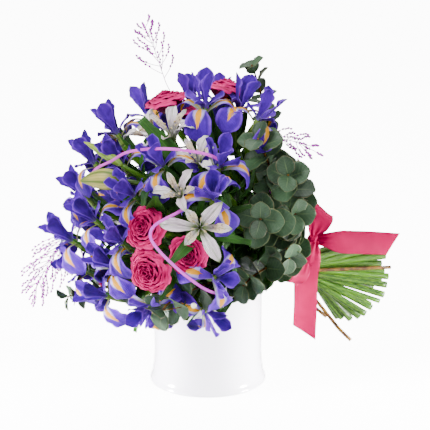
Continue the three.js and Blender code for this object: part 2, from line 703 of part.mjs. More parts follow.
function boxesMeet(a, b) {
  return [0, 1, 2].every((i) => a.min[i] <= b.max[i] && b.min[i] <= a.max[i]);
}

// The pieces that a piece has to keep clear of: all that were settled before it, in other nodes.
const settled = [];

function nearTo(solid, node) {
  const box = solid.boundingBox();
  const near = settled.filter((other) => other.node !== node && boxesMeet(box, other.box));
  return near.map(({ grown }) => grown);
}

function settle(piece) {
  let best = null;
  for (const choice of piece.choices) {
    const whole = piece.make(0, choice);
    let overlap = 0;
    for (const other of nearTo(whole, piece.node)) {
      overlap += whole.intersect(other).volume();
    }
    if (!best || overlap < best.overlap - 1) {
      best = { choice, whole, overlap };
    }
    if (best.overlap === 0) {
      break;
    }
  }
  const near = nearTo(best.whole, piece.node);
  piece.rest = best.overlap > 0 ? best.whole.subtract(wasm.Manifold.union(near)) : best.whole;
  piece.share = piece.rest.volume() / best.whole.volume();
  const grown = piece.make(GAP, best.choice);
  settled.push({ node: piece.node, grown, box: grown.boundingBox() });
}

const pieces = order.flatMap((node) => node.pieces);
pieces.sort((a, b) => a.level - b.level || a.node.place - b.node.place);
pieces.forEach(settle);

const SIMPLIFY_STEPS = [0.05, 0.08, 0.03, 0.12, 0.18];
const FINEST = 1e-4;
const LEAST_KEPT = 0.5;

function largest(solid) {
  return solid.decompose().sort((a, b) => b.volume() - a.volume())[0];
}

function geometryOf(solid) {
  const { vertProperties, triVerts } = solid.getMesh();
  const geometry = new THREE.BufferGeometry();
  geometry.setAttribute('position', new THREE.BufferAttribute(vertProperties, 3));
  geometry.setIndex(new THREE.BufferAttribute(triVerts, 1));
  return geometry;
}

// Does a solid stay closed when places nearer than the finest step count as one? Each edge has to have
// exactly two triangles then.
function staysClosed(solid) {
  const merged = mergeVertices(geometryOf(solid), FINEST);
  const uses = new Map();
  for (let i = 0; i < merged.index.count; i += 3) {
    const corners = [0, 1, 2].map((k) => merged.index.getX(i + k));
    if (new Set(corners).size === 3) {
      for (const [a, b] of [[0, 1], [1, 2], [2, 0]]) {
        const edge = [corners[a], corners[b]].sort((first, second) => first - second).join();
        uses.set(edge, (uses.get(edge) || 0) + 1);
      }
    }
  }
  return [...uses.values()].every((count) => count === 2);
}

// A leaf that others would mostly cut away is left out, and so is a scrap that a cut leaves loose. Places
// where the surface pinches to a point come apart when its vertices are merged once more, and the first
// simplifying step that leaves the surface closed is taken.
function finished(node) {
  const kept = node.pieces.filter(({ level, share }) => level !== LEVEL.leaf || share > LEAST_KEPT);
  const union = wasm.Manifold.union(kept.map(({ rest }) => rest));
  let solid = null;
  for (const step of SIMPLIFY_STEPS) {
    solid = largest(solidOf(geometryOf(largest(union.simplify(step)))));
    if (staysClosed(solid)) {
      break;
    }
  }
  return solid;
}

function meshOf(node) {
  const [color, roughness] = COLOURS[node.colour];
  const material = new THREE.MeshStandardMaterial({ color, roughness });
  const mesh = new THREE.Mesh(geometryOf(finished(node)), material);
  mesh.name = node.name;
  return mesh;
}

const bouquet = new THREE.Group();
bouquet.name = 'irises_in_a_vase';
order.forEach((node) => bouquet.add(meshOf(node)));

export default bouquet;
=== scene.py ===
# %% [markdown]
# # A bouquet of irises across a white vase
#
# This lesson dresses a plain model of a hand-tied bouquet. Every petal, leaf and stem is a surface that
# numpy works out on a grid of two parameters, one along the piece and one across it. Blender gets the
# finished grid in one go, which is quick and easy to change. The plain model gives the space that each
# flower may fill, so it is loaded first, and its box is kept to be printed beside the dressed one's at
# the end.

import itertools

import bpy
import numpy as np
from mathutils import Matrix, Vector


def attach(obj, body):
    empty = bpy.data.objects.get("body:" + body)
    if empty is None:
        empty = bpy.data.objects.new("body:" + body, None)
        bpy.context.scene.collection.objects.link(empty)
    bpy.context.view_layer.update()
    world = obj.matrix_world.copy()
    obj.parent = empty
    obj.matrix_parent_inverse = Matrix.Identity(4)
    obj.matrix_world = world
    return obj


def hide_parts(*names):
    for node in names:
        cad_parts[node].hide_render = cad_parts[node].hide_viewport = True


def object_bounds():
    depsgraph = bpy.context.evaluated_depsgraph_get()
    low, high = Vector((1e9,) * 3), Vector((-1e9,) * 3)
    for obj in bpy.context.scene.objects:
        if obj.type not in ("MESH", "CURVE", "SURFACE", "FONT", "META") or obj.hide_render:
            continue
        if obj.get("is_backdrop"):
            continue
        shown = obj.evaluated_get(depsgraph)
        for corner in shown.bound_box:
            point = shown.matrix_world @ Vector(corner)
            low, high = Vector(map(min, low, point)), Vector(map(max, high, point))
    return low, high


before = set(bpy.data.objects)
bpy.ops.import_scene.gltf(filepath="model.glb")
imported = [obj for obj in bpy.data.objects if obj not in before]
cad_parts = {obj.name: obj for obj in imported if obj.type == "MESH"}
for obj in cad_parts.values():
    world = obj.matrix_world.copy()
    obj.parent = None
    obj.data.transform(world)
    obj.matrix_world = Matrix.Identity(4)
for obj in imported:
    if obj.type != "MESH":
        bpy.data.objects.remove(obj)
plain_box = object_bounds()
MM = 0.001  # every shape below is worked out in millimetres
print(len(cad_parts), "plain pieces")

# %% [markdown]
# ## Directions
#
# A flower needs a place and three directions: up its axis, out along its first petal, and sideways.
# Vectors are numpy arrays, so one line moves a single point or a whole grid of points.


# %% Vector helpers
def vec(*numbers):
    return np.array(numbers, float)


UP, TO_VIEWER = vec(0, 0, 1), vec(0, -0.97, 0.23)


def column(first, last, count):
    """Evenly spread numbers as a column, so that a formula gives a row for each of them."""
    return np.linspace(first, last, count)[:, None]


def unit(v):
    return v / np.linalg.norm(v, axis=-1, keepdims=True)


def across(direction, axis):
    """The direction with its part along the axis taken out, of length one."""
    return unit(direction - (direction @ axis) * axis)


def level_side(axis, limit, level=vec(1, 0, 0)):
    """A direction square to the axis: from up, or from the level one where the axis points up."""
    return across(level if abs(axis[2]) > limit else UP, axis)


def turn_about(v, axis, degrees):
    """A turn about an axis: v cos a + (axis x v) sin a + axis (axis . v)(1 - cos a)."""
    a = np.radians(degrees)
    return v * np.cos(a) + np.cross(axis, v) * np.sin(a) + axis * (axis @ v) * (1 - np.cos(a))


def place_at(origin, up, out):
    """A place and its three directions: up the axis, out along the first petal, and sideways."""
    return origin, up, out, np.cross(up, out)


def turned(place, degrees):
    """A place turned about its own axis."""
    origin, up, out, _ = place
    return place_at(origin, up, turn_about(out, up, degrees))


print("level, a quarter turn about up:", turn_about(vec(1, 0, 0), UP, 90).round(3))

# %% [markdown]
# ## The bouquet's layout
#
# A florist builds a hand-tied bouquet as a spiral: every stem passes the tying point at the same slant,
# and the flowers form a dome at the far end. A dome is half an ellipsoid, so a flower's place on it is
# two angles, its lean from the bouquet's axis and its turn round it. They are listed for each flower,
# and formulas give the rest: the flower's direction and the whole course of its stem.

# %% The dome and the tie
TIE, HEAD = vec(146, 50, 171), vec(-38, -38, 275)  # where the stems cross, and the dome's middle
DOME_DEPTH, DOME_RADIUS = 115, 165
TIE_RADIUS, WOODY_RING = 22.5, 24  # the woody stems pass the tie just outside the green ones
VASE_RADIUS, VASE_HEIGHT, VASE_WALL, VASE_FLOOR, FOOT_RADIUS = 82, 166, 4.5, 7, 89
GAP = 0.35  # between a bloom and its stem
AXIS = unit(HEAD - TIE)
ACROSS_UP = across(UP, AXIS)
ACROSS_BACK = np.cross(AXIS, ACROSS_UP)


def bloom_place(lean, turn, lift, rise, roll=0):
    """Place on the ellipsoid, lifted along its normal; the axis leans between that normal and up."""
    a, b = np.radians(lean), np.radians(turn)
    side = ACROSS_UP * np.cos(b) + ACROSS_BACK * np.sin(b)
    normal = unit(AXIS * np.cos(a) / DOME_DEPTH + side * np.sin(a) / DOME_RADIUS)
    point = HEAD + AXIS * DOME_DEPTH * np.cos(a) + side * DOME_RADIUS * np.sin(a) + normal * lift
    up = unit(normal + UP * rise)
    return place_at(point, up, turn_about(across(-UP, up), up, roll))


print("the bouquet's axis points", AXIS.round(2))

# %% [markdown]
# ## Smooth lines and stems
#
# A stem is a smooth line from its bloom, through its own place in the tie, to its cut end. The bouquet
# lies on the vase, so a line that would pass through the rim is lifted over it. Two more kinds of curve
# are useful: one cuts the corners of a line, the other passes through all of its points.

# %% Curves and stems
TWIST = 78  # degrees that the stems turn about the axis on their way to the tie
WIDEST_DEPTH = 1.45  # depth of the blooms whose stems are outermost in the tie, in dome depths
BEND_BELOW_BLOOM, BEND_ABOVE_TIE, STEM_BELOW_TIE, STEM_ROWS = 45, 90, 138, 18
OVER_RIM = VASE_HEIGHT + 5.7  # the lowest that a stem's middle line may be over the vase
BESIDE_RIM = VASE_RADIUS + 10  # from here outwards it may slope down


def cut_corners(points, rounds=3):
    """A rounded line: each of its sides keeps its places at 1/4 and 3/4, again and again."""
    for _ in range(rounds):
        a, b = points[:-1], points[1:]
        middle = np.stack([0.75 * a + 0.25 * b, 0.25 * a + 0.75 * b], 1).reshape(-1, points.shape[1])
        points = np.concatenate([points[:1], middle, points[-1:]])
    return points


def through(points, count):
    """A cubic curve through all the points, at count evenly shared parameters. Its direction at each
    point is that of the line between the two neighbours."""
    points = np.asarray(points, float)
    ends = 2 * points[[0, -1]] - points[[1, -2]]
    p = np.concatenate([ends[:1], points, ends[1:]])
    u = np.linspace(0, len(points) - 1, count)
    i = np.minimum(u.astype(int), len(points) - 2)
    f = (u - i)[:, None]
    a, b, c, d = p[i], p[i + 1], p[i + 2], p[i + 3]
    bend = (2 * a - 5 * b + 4 * c - d) * f**2 + (3 * b - a - 3 * c + d) * f**3
    return 0.5 * (2 * b + (c - a) * f + bend)


def over_the_rim(path):
    """Lifts a path to the height that clears the rim, and lets it slope down again outside it."""
    outside = np.maximum(np.hypot(path[:, 0], path[:, 1]) - BESIDE_RIM, 0)
    path[:, 2] = np.maximum(path[:, 2], OVER_RIM - 0.9 * outside)
    return path


def stem_path(start, heading, ring=0, spare=0):
    """A cubic curve from the flower to its own place in the tie, then straight to the cut end. Two
    points, bend and near, hold the curve straight at its ends: (1-t)^3 start + 3 t (1-t)^2 bend
    + 3 t^2 (1-t) near + t^3 tie."""
    place = turn_about(across(start - TIE, AXIS), AXIS, TWIST)
    depth = (start - HEAD) @ AXIS / DOME_DEPTH
    share = min(np.sqrt(max(1 - depth, 0.02) / WIDEST_DEPTH), 1)
    tie = TIE + place * (ring or TIE_RADIUS * share)
    bend = start + heading * BEND_BELOW_BLOOM
    back = unit(bend - tie)
    near = tie + back * BEND_ABOVE_TIE
    t = column(0, 1, STEM_ROWS)
    curve = (1 - t)**3 * start + 3 * t * (1 - t)**2 * bend + 3 * t**2 * (1 - t) * near + t**3 * tie
    below = column(0.2, 1, 5) * (STEM_BELOW_TIE + spare)
    return over_the_rim(np.concatenate([curve, tie - back * below]))


print("a stem has", len(stem_path(bloom_place(60, 0, 0, 0)[0], -AXIS)), "points")

# %% [markdown]
# ## From grids to meshes
#
# A Sheaf gathers the grids of one piece and turns them into a single mesh. Each grid brings its own
# finish, a pair of petal coordinates (across and along) that the materials read as a UV map, and a tone
# that makes one petal a little different from the next. Petals stay single surfaces here and get their
# thickness from a Solidify modifier, which also closes their edges.


# %% The mesh maker
def add_object(name, data):
    """An object that holds the data, in the scene."""
    piece = bpy.data.objects.new(name, data)
    bpy.context.scene.collection.objects.link(piece)
    return piece


class Sheaf:
    """The grids of one piece: corners, faces, petal coordinates, tones and finishes."""

    def __init__(self):
        self.points, self.faces, self.uvs, self.tones, self.finishes = [], [], [], [], []
        self.count = 0

    def grid(self, points, finish=0, tone=0.5, closed=False, caps=False, cap_finish=None, uv=None):
        """Quads between the rows and columns of points; closed joins the last column to the first."""
        rows, columns = points.shape[:2]
        if uv is None:
            aside, along = np.meshgrid(np.linspace(0, 1, columns), np.linspace(0, 1, rows))
            uv = np.stack([aside, along], -1)
        index = self.count + np.arange(rows * columns).reshape(rows, columns)
        right = np.roll(index, -1, 1) if closed else index[:, 1:]
        left = index if closed else index[:, :-1]
        quads = np.stack([left[:-1], right[:-1], right[1:], left[1:]], -1).reshape(-1, 4)
        flat, flat_uv = points.reshape(-1, 3), uv.reshape(-1, 2)
        self.faces += quads.tolist()
        self.finishes += [finish] * len(quads)
        if caps:
            middles = points[[0, -1]].mean(1)
            flat = np.concatenate([flat, middles])
            flat_uv = np.concatenate([flat_uv, [[0.5, 0], [0.5, 1]]])
            first, last = self.count + rows * columns, self.count + rows * columns + 1
            ring, end = index[0], index[-1]
            start_cap = np.stack([np.roll(ring, -1), ring, np.full(columns, first)], -1)
            end_cap = np.stack([end, np.roll(end, -1), np.full(columns, last)], -1)
            self.faces += start_cap.tolist() + end_cap.tolist()
            self.finishes += [finish] * columns
            self.finishes += [finish if cap_finish is None else cap_finish] * columns
        self.points.append(flat)
        self.uvs.append(flat_uv)
        self.tones.append(np.full(len(flat), tone))
        self.count += len(flat)

    def rod(self, path, radii, sides, finish=0, tone=0.5, cap_finish=None):
        """A closed tube along a path."""
        self.grid(tube(path, radii, sides), finish, tone, closed=True, caps=True, cap_finish=cap_finish)

    def make(self, name, finishes, node, thickness=0):
        """The finished piece, which stands in for the plain node of that name."""
        mesh = bpy.data.meshes.new(name)
        mesh.from_pydata(np.concatenate(self.points) * MM, [], self.faces)
        for finish in finishes:
            mesh.materials.append(finish)
        mesh.polygons.foreach_set("material_index", self.finishes)
        mesh.polygons.foreach_set("use_smooth", np.ones(len(self.faces), bool))
        corner = np.zeros(len(mesh.loops), int)
        mesh.loops.foreach_get("vertex_index", corner)
        layer = mesh.uv_layers.new(name="petal")
        layer.data.foreach_set("uv", np.concatenate(self.uvs)[corner].ravel())
        tone = mesh.attributes.new("tone", "FLOAT", "POINT")
        tone.data.foreach_set("value", np.concatenate(self.tones))
        mesh.validate()
        mesh.update()
        piece = add_object(name, mesh)
        if thickness:
            wall = piece.modifiers.new("thickness", "SOLIDIFY")
            wall.thickness = thickness * MM
            wall.offset = 0
        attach(piece, "root")
        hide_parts(node)
        return piece


print("a Sheaf can", [name for name in vars(Sheaf) if not name.startswith("_")])

# %% [markdown]
# ## Tubes and petals
#
# Stems, stalks and seeds are rings carried along a path. Petals and leaves are a middle line with a half
# width at each place along it, which one function bends across and ruffles at the edges. Real petals
# are never flat: they are cupped, ridged along the middle and waved where the edge grew too long.


# %% Tubes and petals
def tube(path, radii, sides):
    """Rings of points round a path. The ring's two directions come from the path's tangent."""
    path = np.asarray(path, float)
    tangent = unit(np.gradient(path, axis=0))
    rest = np.eye(3)[np.argmin(np.abs(tangent).mean(0))]
    side = unit(np.cross(tangent, rest))
    other = np.cross(tangent, side)
    angle = np.linspace(0, 2 * np.pi, sides, endpoint=False)[:, None]
    ring = side[:, None] * np.cos(angle) + other[:, None] * np.sin(angle)
    radii = np.broadcast_to(radii, len(path))
    return path[:, None] + ring * radii[:, None, None]


def petal(place, middle, halves, rows, columns, cup=0, ruffle=0, waves=3, phase=0, ridge=0, notch=0,
          crinkle=0, tilt=0, yaw=0, size=1):
    """A petal: place = origin + out x(t) + up z(t) + side s w(t), moved off its middle line by
    cup s^2 + ruffle sin(waves t + phase) |s|^3 + ridge exp(-(s / 0.12)^2) + crinkle cos(9 s + 5 t).
    Its rows stand closer together towards the tip, and a notch draws the middle of the tip back."""
    origin, up, out, side = place
    side, out = turn_about(side, up, yaw), turn_about(out, up, yaw)
    out = turn_about(out, side, -tilt)
    up = np.cross(out, side)
    along = np.linspace(0, 1, rows)
    along = along * (1.25 - 0.25 * along)
    t, s = along[:, None], np.linspace(-1, 1, columns)[None, :]
    line = through(middle, 4 * len(middle) + 1)
    stations = np.linspace(0, 1, len(line))
    width_at, width = np.array(halves, float).T
    coarse = np.interp(np.linspace(0, 1, 11), width_at, width)[:, None]
    wide = np.interp(along, np.linspace(0, 1, 41), through(coarse, 41)[:, 0])
    wide = np.maximum(wide, 0.05)[:, None]
    run_x = np.gradient(np.interp(along, stations, line[:, 0]))
    run_z = np.gradient(np.interp(along, stations, line[:, 1]))
    length = np.hypot(run_x, run_z)
    run_x, run_z = (run_x / length)[:, None], (run_z / length)[:, None]
    grown = np.clip(wide / wide.max(), 0, 1)
    slow = np.sin(2 * np.pi * waves * t + phase + 1.3 * s)
    quick = np.sin(2 * np.pi * 2.3 * waves * t + 2 * phase - s)
    off = cup * s**2 * grown + ridge * np.exp(-(s / 0.12)**2) * np.sin(np.pi * t)**0.5
    off = off + ruffle * (slow + 0.4 * quick) * np.abs(s)**3 * grown**2
    off = off + crinkle * np.cos(9 * s + 5 * t + phase) * grown**2
    reach = t - notch * np.exp(-(s / 0.25)**2) * np.clip(2 * t - 1, 0, 1)
    x, z = np.interp(reach, stations, line[:, 0]), np.interp(reach, stations, line[:, 1])
    x, z, aside = (x - run_z * off) * size, (z + run_x * off) * size, s * wide * size
    return origin + out * x[..., None] + up * z[..., None] + side * aside[..., None]


print("a tube of", tube([[0, 0, 0], [0, 0, 9], [1, 0, 20]], 2, 10).shape, "points")

# %% [markdown]
# ## Ways to wire a finish
#
# A material is a small network of nodes. The Wiring class below places a node and joins it in one
# call, which keeps each finish short enough to read. Effects that several finishes share, such as the
# veins of a petal, become node groups with named sockets: they are built once and given other values
# in each material.


# %% Wiring
def rgb(code):
    """A colour from its six hexadecimal figures, turned from display values to linear ones."""
    parts = np.array([int(code[i:i + 2], 16) for i in (0, 2, 4)]) / 255
    linear = np.where(parts <= 0.04045, parts / 12.92, ((parts + 0.055) / 1.055)**2.4)
    return (*linear.tolist(), 1.0)


class Wiring:
    """A node tree with short calls to place nodes and join them."""

    def __init__(self, tree):
        self.tree = tree
        self.shader = tree.nodes.get("Principled BSDF")

    def put(self, kind, **settings):
        node = self.tree.nodes.new(kind)
        for name, value in settings.items():
            setattr(node, name, value)
        return node

    def feed(self, socket, value):
        """Joins a node's output to the socket, or sets the socket to a plain value."""
        if isinstance(value, bpy.types.NodeSocket):
            self.tree.links.new(value, socket)
        elif value is not None:
            socket.default_value = value

    def fill(self, node, **values):
        """Feeds the node's named sockets and gives its first output."""
        for name, value in values.items():
            self.feed(node.inputs[name], value)
        return node.outputs[0]

    def math(self, operation, a, b=None, c=None):
        node = self.put("ShaderNodeMath", operation=operation)
        for socket, value in zip(node.inputs, (a, b, c)):
            self.feed(socket, value)
        return node.outputs[0]

    def times(self, a, b):
        return self.math("MULTIPLY", a, b)

    def stripes(self, value, sharpness):
        """Lines at each half turn of the value: |cos(value)| to the power of the sharpness."""
        return self.math("POWER", self.math("ABSOLUTE", self.math("COSINE", value)), sharpness)

    def mix(self, share, a, b):
        node = self.put("ShaderNodeMix", data_type="RGBA")
        for socket, value in zip((node.inputs[0], node.inputs[6], node.inputs[7]), (share, a, b)):
            self.feed(socket, value)
        return node.outputs[2]

    def over(self, colour, code, mask, strength=1):
        """The colour with the one of that code laid over it, where the mask is."""
        return self.mix(mask if strength == 1 else self.times(mask, strength), colour, rgb(code))

    def step(self, value, low, high):
        """0 at low, 1 at high and a smooth change between, also where low is the greater."""
        node = self.put("ShaderNodeMapRange", interpolation_type="SMOOTHSTEP")
        for socket, number in zip(node.inputs, (value, low, high, 0.0, 1.0)):
            self.feed(socket, number)
        return node.outputs[0]

    def noise(self, place, scale, detail=3.0, distortion=0.0):
        return self.fill(self.put("ShaderNodeTexNoise"), Vector=place, Scale=scale, Detail=detail,
                         Distortion=distortion)

    def bump(self, height, strength, distance):
        return self.fill(self.put("ShaderNodeBump"), Height=height, Strength=strength, Distance=distance)

    def petal_place(self):
        """The petal coordinates: aside from -1 to 1, along from 0 to 1."""
        parts = self.put("ShaderNodeSeparateXYZ")
        self.feed(parts.inputs[0], self.put("ShaderNodeUVMap", uv_map="petal").outputs[0])
        return self.math("MULTIPLY_ADD", parts.outputs[0], 2.0, -1.0), parts.outputs[1]

    def where(self):
        return self.put("ShaderNodeTexCoord").outputs["Object"]

    def tone(self):
        return self.put("ShaderNodeAttribute", attribute_name="tone").outputs["Fac"]

    def group(self, tree, **values):
        return self.fill(self.put("ShaderNodeGroup", node_tree=tree), **values)


print("white is", rgb("FFFFFF"))


# %% New finishes and effects
def finish(name, **sockets):
    """A new material with a Principled shader; a socket's name is written with underscores."""
    material = bpy.data.materials.new(name)
    material.use_nodes = True
    w = Wiring(material.node_tree)
    for key, value in sockets.items():
        w.feed(w.shader.inputs[key.replace("_", " ")], value)
    return material, w


def new_group(name, output, kind, **inputs):
    """A shader node group with one output and an input for each named number."""
    tree = bpy.data.node_groups.new(name, "ShaderNodeTree")
    for label, value in inputs.items():
        socket = tree.interface.new_socket(name=label, in_out="INPUT", socket_type="NodeSocketFloat")
        socket.default_value = value
    tree.interface.new_socket(name=output, in_out="OUTPUT", socket_type=kind)
    w = Wiring(tree)
    return tree, w, w.put("NodeGroupInput").outputs, w.put("NodeGroupOutput").inputs[0]


print("a Wiring can", [name for name in vars(Wiring) if not name.startswith("_")])

# %% [markdown]
# ## Shared effects
#
# Three effects come back on nearly every plant part. Veins fan out from a petal's base, so they are a
# wave of the coordinate across the petal, shaken a little by noise. Mottling is a soft noise on Object
# coordinates that keeps large areas from looking painted. The skin effect turns veins and a fine grain
# into a bumped normal.

# %% Veins, mottling and skin
veins, w, given, result = new_group("veins", "Mask", "NodeSocketFloat", Aside=0.0, Along=0.0, Count=9.0,
                                    Thin=6.0)
shake = w.noise(w.where(), 160.0, 2.0)
spread = w.math("ADD", w.times(given["Aside"], given["Count"]), w.times(shake, 1.6))
spread = w.math("ADD", spread, w.times(w.math("ABSOLUTE", given["Aside"]), given["Along"]))
w.feed(result, w.stripes(w.times(spread, np.pi), given["Thin"]))

mottle, w, given, result = new_group("mottle", "Mask", "NodeSocketFloat", Scale=40.0, Low=0.35, High=0.65)
cloud = w.noise(w.where(), given["Scale"], 4.0, 0.4)
w.feed(result, w.step(cloud, given["Low"], given["High"]))

skin, w, given, result = new_group("skin", "Normal", "NodeSocketVector", Mask=0.5, Relief=0.3, Grain=900.0)
grain = w.noise(w.where(), given["Grain"], 3.0)
w.feed(result, w.bump(w.math("MULTIPLY_ADD", grain, 0.35, given["Mask"]), given["Relief"], 0.0006))


def veined(w, count, thin):
    """The petal coordinates, across and along, and the veins on them."""
    aside, along = w.petal_place()
    return aside, along, w.group(veins, Aside=aside, Along=along, Count=count, Thin=thin)


def shade(w, scale, of_tone, of_patches):
    """How light a place is: the petal's own tone and the mottling, each with its share."""
    return w.math("MULTIPLY_ADD", w.tone(), of_tone, w.times(w.group(mottle, Scale=scale), of_patches))


def paint(w, colour, mask=None, relief=0.3, grain=900.0):
    """Feeds a finish its colour and, where there is a mask, the skin's normal made from it."""
    w.feed(w.shader.inputs["Base Color"], colour)
    if mask is not None:
        w.feed(w.shader.inputs["Normal"], w.group(skin, Mask=mask, Relief=relief, Grain=grain))


print("shared effects:", [tree.name for tree in bpy.data.node_groups])

# %% [markdown]
# ## The vase
#
# The real vase is a plain round cylinder of glossy white ceramic that flares softly into a wider foot.
# A turned form is a profile carried round an axis, so the grid is the profile along one parameter and
# the angle along the other. The glaze is a white with a faint cloudiness and a clear coat on top. The
# faint lavender cast of its whites is a painted reflection of the lavender-grey in the middle of a
# glossy white, laid over the whole vase. A slight waviness, as real glaze has, makes the highlights a
# little uneven.

# %% Vase shape and glaze
INNER_RADIUS = VASE_RADIUS - VASE_WALL
VASE_PROFILE = [
    (30, 1.2), (60, 0.4), (FOOT_RADIUS - 3, 0), (FOOT_RADIUS - 0.6, 0.8), (FOOT_RADIUS, 2.4),
    (FOOT_RADIUS - 0.9, 5), (FOOT_RADIUS - 3.2, 10), (VASE_RADIUS + 2.2, 20), (VASE_RADIUS + 0.7, 32),
    (VASE_RADIUS, 46), (VASE_RADIUS, 90), (VASE_RADIUS, 140), (VASE_RADIUS, VASE_HEIGHT - 4),
    (VASE_RADIUS - 0.5, VASE_HEIGHT - 1), (VASE_RADIUS - VASE_WALL / 2, VASE_HEIGHT),
    (INNER_RADIUS + 0.5, VASE_HEIGHT - 1), (INNER_RADIUS, VASE_HEIGHT - 4), (INNER_RADIUS, 90),
    (INNER_RADIUS, VASE_FLOOR + 12), (INNER_RADIUS - 3, VASE_FLOOR + 4), (INNER_RADIUS - 10, VASE_FLOOR),
    (30, VASE_FLOOR),
]


def lathe(profile, samples, sides):
    """Profile of (radius, height) carried round the upright axis."""
    radius, height = through(profile, samples).T
    angle = np.linspace(0, 2 * np.pi, sides, endpoint=False)
    ring = np.stack([np.cos(angle), np.sin(angle), np.zeros(sides)], -1)
    return radius[:, None, None] * ring + height[:, None, None] * UP


glaze, w = finish("glaze", Roughness=0.16, Coat_Weight=0.6, Coat_Roughness=0.05, Specular_IOR_Level=0.6)
cloud = w.group(mottle, Scale=9.0, Low=0.2, High=0.8)
# both whites have a faint lavender cast, a painted reflection; the cloud between them is the glaze's own
# cloudiness
paint(w, w.mix(cloud, rgb("EDE8F5"), rgb("F6F3FA")))
w.feed(w.shader.inputs["Normal"], w.bump(w.noise(w.where(), 14.0, 1.0), 0.12, 0.002))

vase = Sheaf()
vase.grid(lathe(VASE_PROFILE, 110, 96), closed=True, caps=True)
vase.make("vase_body", [glaze], "vase")
print("vase", 2 * VASE_RADIUS, "mm wide,", VASE_HEIGHT, "mm high")

# %% [markdown]
# ## Green finishes
#
# Stems are fresh green with a pale cut end, and fine ribs run along them. Leaves have many finer ribs,
# and both have a paler line along the middle. The ribs are the veins effect with another count. A green
# finish is never one colour: mottling moves it between a dark and a light green.


# %% Stems and leaves
def green_finish(name, dark, light, rib, count):
    material, w = finish(name, Roughness=0.42, Specular_IOR_Level=0.25)
    aside, _, ribs = veined(w, count, 3.0)
    colour = w.mix(shade(w, 55.0, 0.7, 0.3), rgb(dark), rgb(light))
    colour = w.over(colour, rib, ribs, 0.35)
    colour = w.over(colour, rib, w.step(w.math("ABSOLUTE", aside), 0.09, 0.02), 0.5)
    paint(w, colour, ribs, 0.35)
    return material


stem_green = green_finish("stem_green", "0A2406", "356208", "6A9418", 3.0)
leaf_green = green_finish("leaf_green", "0A2208", "22560F", "3E701A", 14.0)
tube_green = green_finish("tube_green", "365525", "67832E", "839942", 4.0)

cut_pith, w = finish("cut_pith", Roughness=0.7)
paint(w, w.mix(w.noise(w.where(), 1400.0, 2.0), rgb("6F8A3C"), rgb("A3B472")))
print("green finishes:", stem_green.name, leaf_green.name, tube_green.name, cut_pith.name)

# %% [markdown]
# ## Iris petals
#
# A Dutch iris has three falls that hang down, each with a yellow signal, three style arms that lie over
# them like a roof, and three standards that stand up. The colour is painted by the petal coordinates:
# the signal is a wedge on the middle of the fall with a pale blue halo, and the veins feather both. The
# surface is velvety, so it has no hard gloss, and what it reflects is tinted violet.


# %% Iris finishes
def iris_finish(name, deep, pale, edge, signal):
    material, w = finish(name, Roughness=0.55, Specular_IOR_Level=0.3, Specular_Tint=rgb("9A80F0"))
    aside, along, lines = veined(w, 9.0, 4.0)
    width = w.math("ABSOLUTE", aside)
    colour = w.mix(shade(w, 75.0, 0.6, 0.45), rgb(deep), rgb(pale))
    colour = w.over(colour, deep, lines, 0.55)
    colour = w.over(colour, edge, w.step(width, 0.66, 1.0), 0.6)
    if signal:
        # the wedge's half width shrinks to a point at 0.76 of the fall's length, and the halo beside
        # its broad end shrinks faster
        feathered = w.math("ADD", width, w.times(lines, 0.07))
        halo = w.math("SUBTRACT", feathered, w.math("MULTIPLY_ADD", along, -2.5, 1.75))
        colour = w.over(colour, "B9AEEC", w.step(halo, 0.12, -0.14), 0.75)
        half = w.math("MINIMUM", w.math("MULTIPLY_ADD", along, -1.15, 0.88), 0.32)
        wedge = w.step(w.math("SUBTRACT", feathered, half), 0.05, -0.02)
        colour = w.mix(wedge, colour, w.mix(lines, rgb("E09E00"), rgb("D08C00")))
        colour = w.over(colour, "A0AD61", w.step(along, 0.32, 0.18), 0.7)
    else:
        colour = w.over(colour, "9590BC", w.step(along, 0.25, 0.02), 0.6)
    paint(w, colour, lines, 0.9)
    return material


fall_violet = iris_finish("fall_violet", "2A0A64", "5A1EBC", "8A48E8", True)
standard_violet = iris_finish("standard_violet", "300E70", "6424C6", "9254EE", False)
style_violet = iris_finish("style_violet", "3F0F88", "7A3ADD", "A77BF7", False)
IRIS_FINISHES = [fall_violet, standard_violet, style_violet, tube_green]
print("iris finishes:", [material.name for material in IRIS_FINISHES])

# %% [markdown]
# ## Green stems
#
# Each bloom asks for its own stem while it is made. The stem swells below the bloom, because the seed
# pod sits there, and it is pressed thinner where the ribbon ties it. The stems are only noted here and
# become one piece later, since the ribbon holds them as one bundle.

# %% A stem for each bloom
stems = []  # (name, path, radii) of every green stem, filled as the flowers are made
stem_numbers = itertools.count(1)


def next_spare():
    """The lengths of the cut ends differ a little, in a repeating order."""
    return next(stem_numbers) * 7 % 5 * 3 - 6


def distances(path):
    """How far along a path each of its points is."""
    return np.concatenate([[0], np.cumsum(np.linalg.norm(np.diff(path, axis=0), axis=1))])


def green_stem(name, start, heading, swell, width):
    """A stem of that half width, swollen below its flower to the half widths in swell."""
    path = stem_path(start, heading, 0, next_spare())
    radii = np.interp(distances(path), *zip(*swell, (120, width), (1000, width)))
    pressed = np.exp(-(np.linalg.norm(path - TIE, axis=1) / 55)**2)
    stems.append((name, path, radii * (1 - 0.35 * pressed)))


def make_all(kind, maker, rows):
    """A piece for each row of a table, with a numbered name."""
    for number, row in enumerate(rows, 1):
        maker(f"{kind}_{number:02d}", *row)
    print(len(rows), "pieces called", kind)


# %% [markdown]
# ## Iris shapes
#
# Each petal is a row of places (out from the axis, up) for its middle line, and a row of half widths.
# The petal function turns them into a cupped, ruffled sheet. A small seeded change of tilt, turn, ruffle
# and tone makes every bloom its own, as in a real bunch, and the same each time.

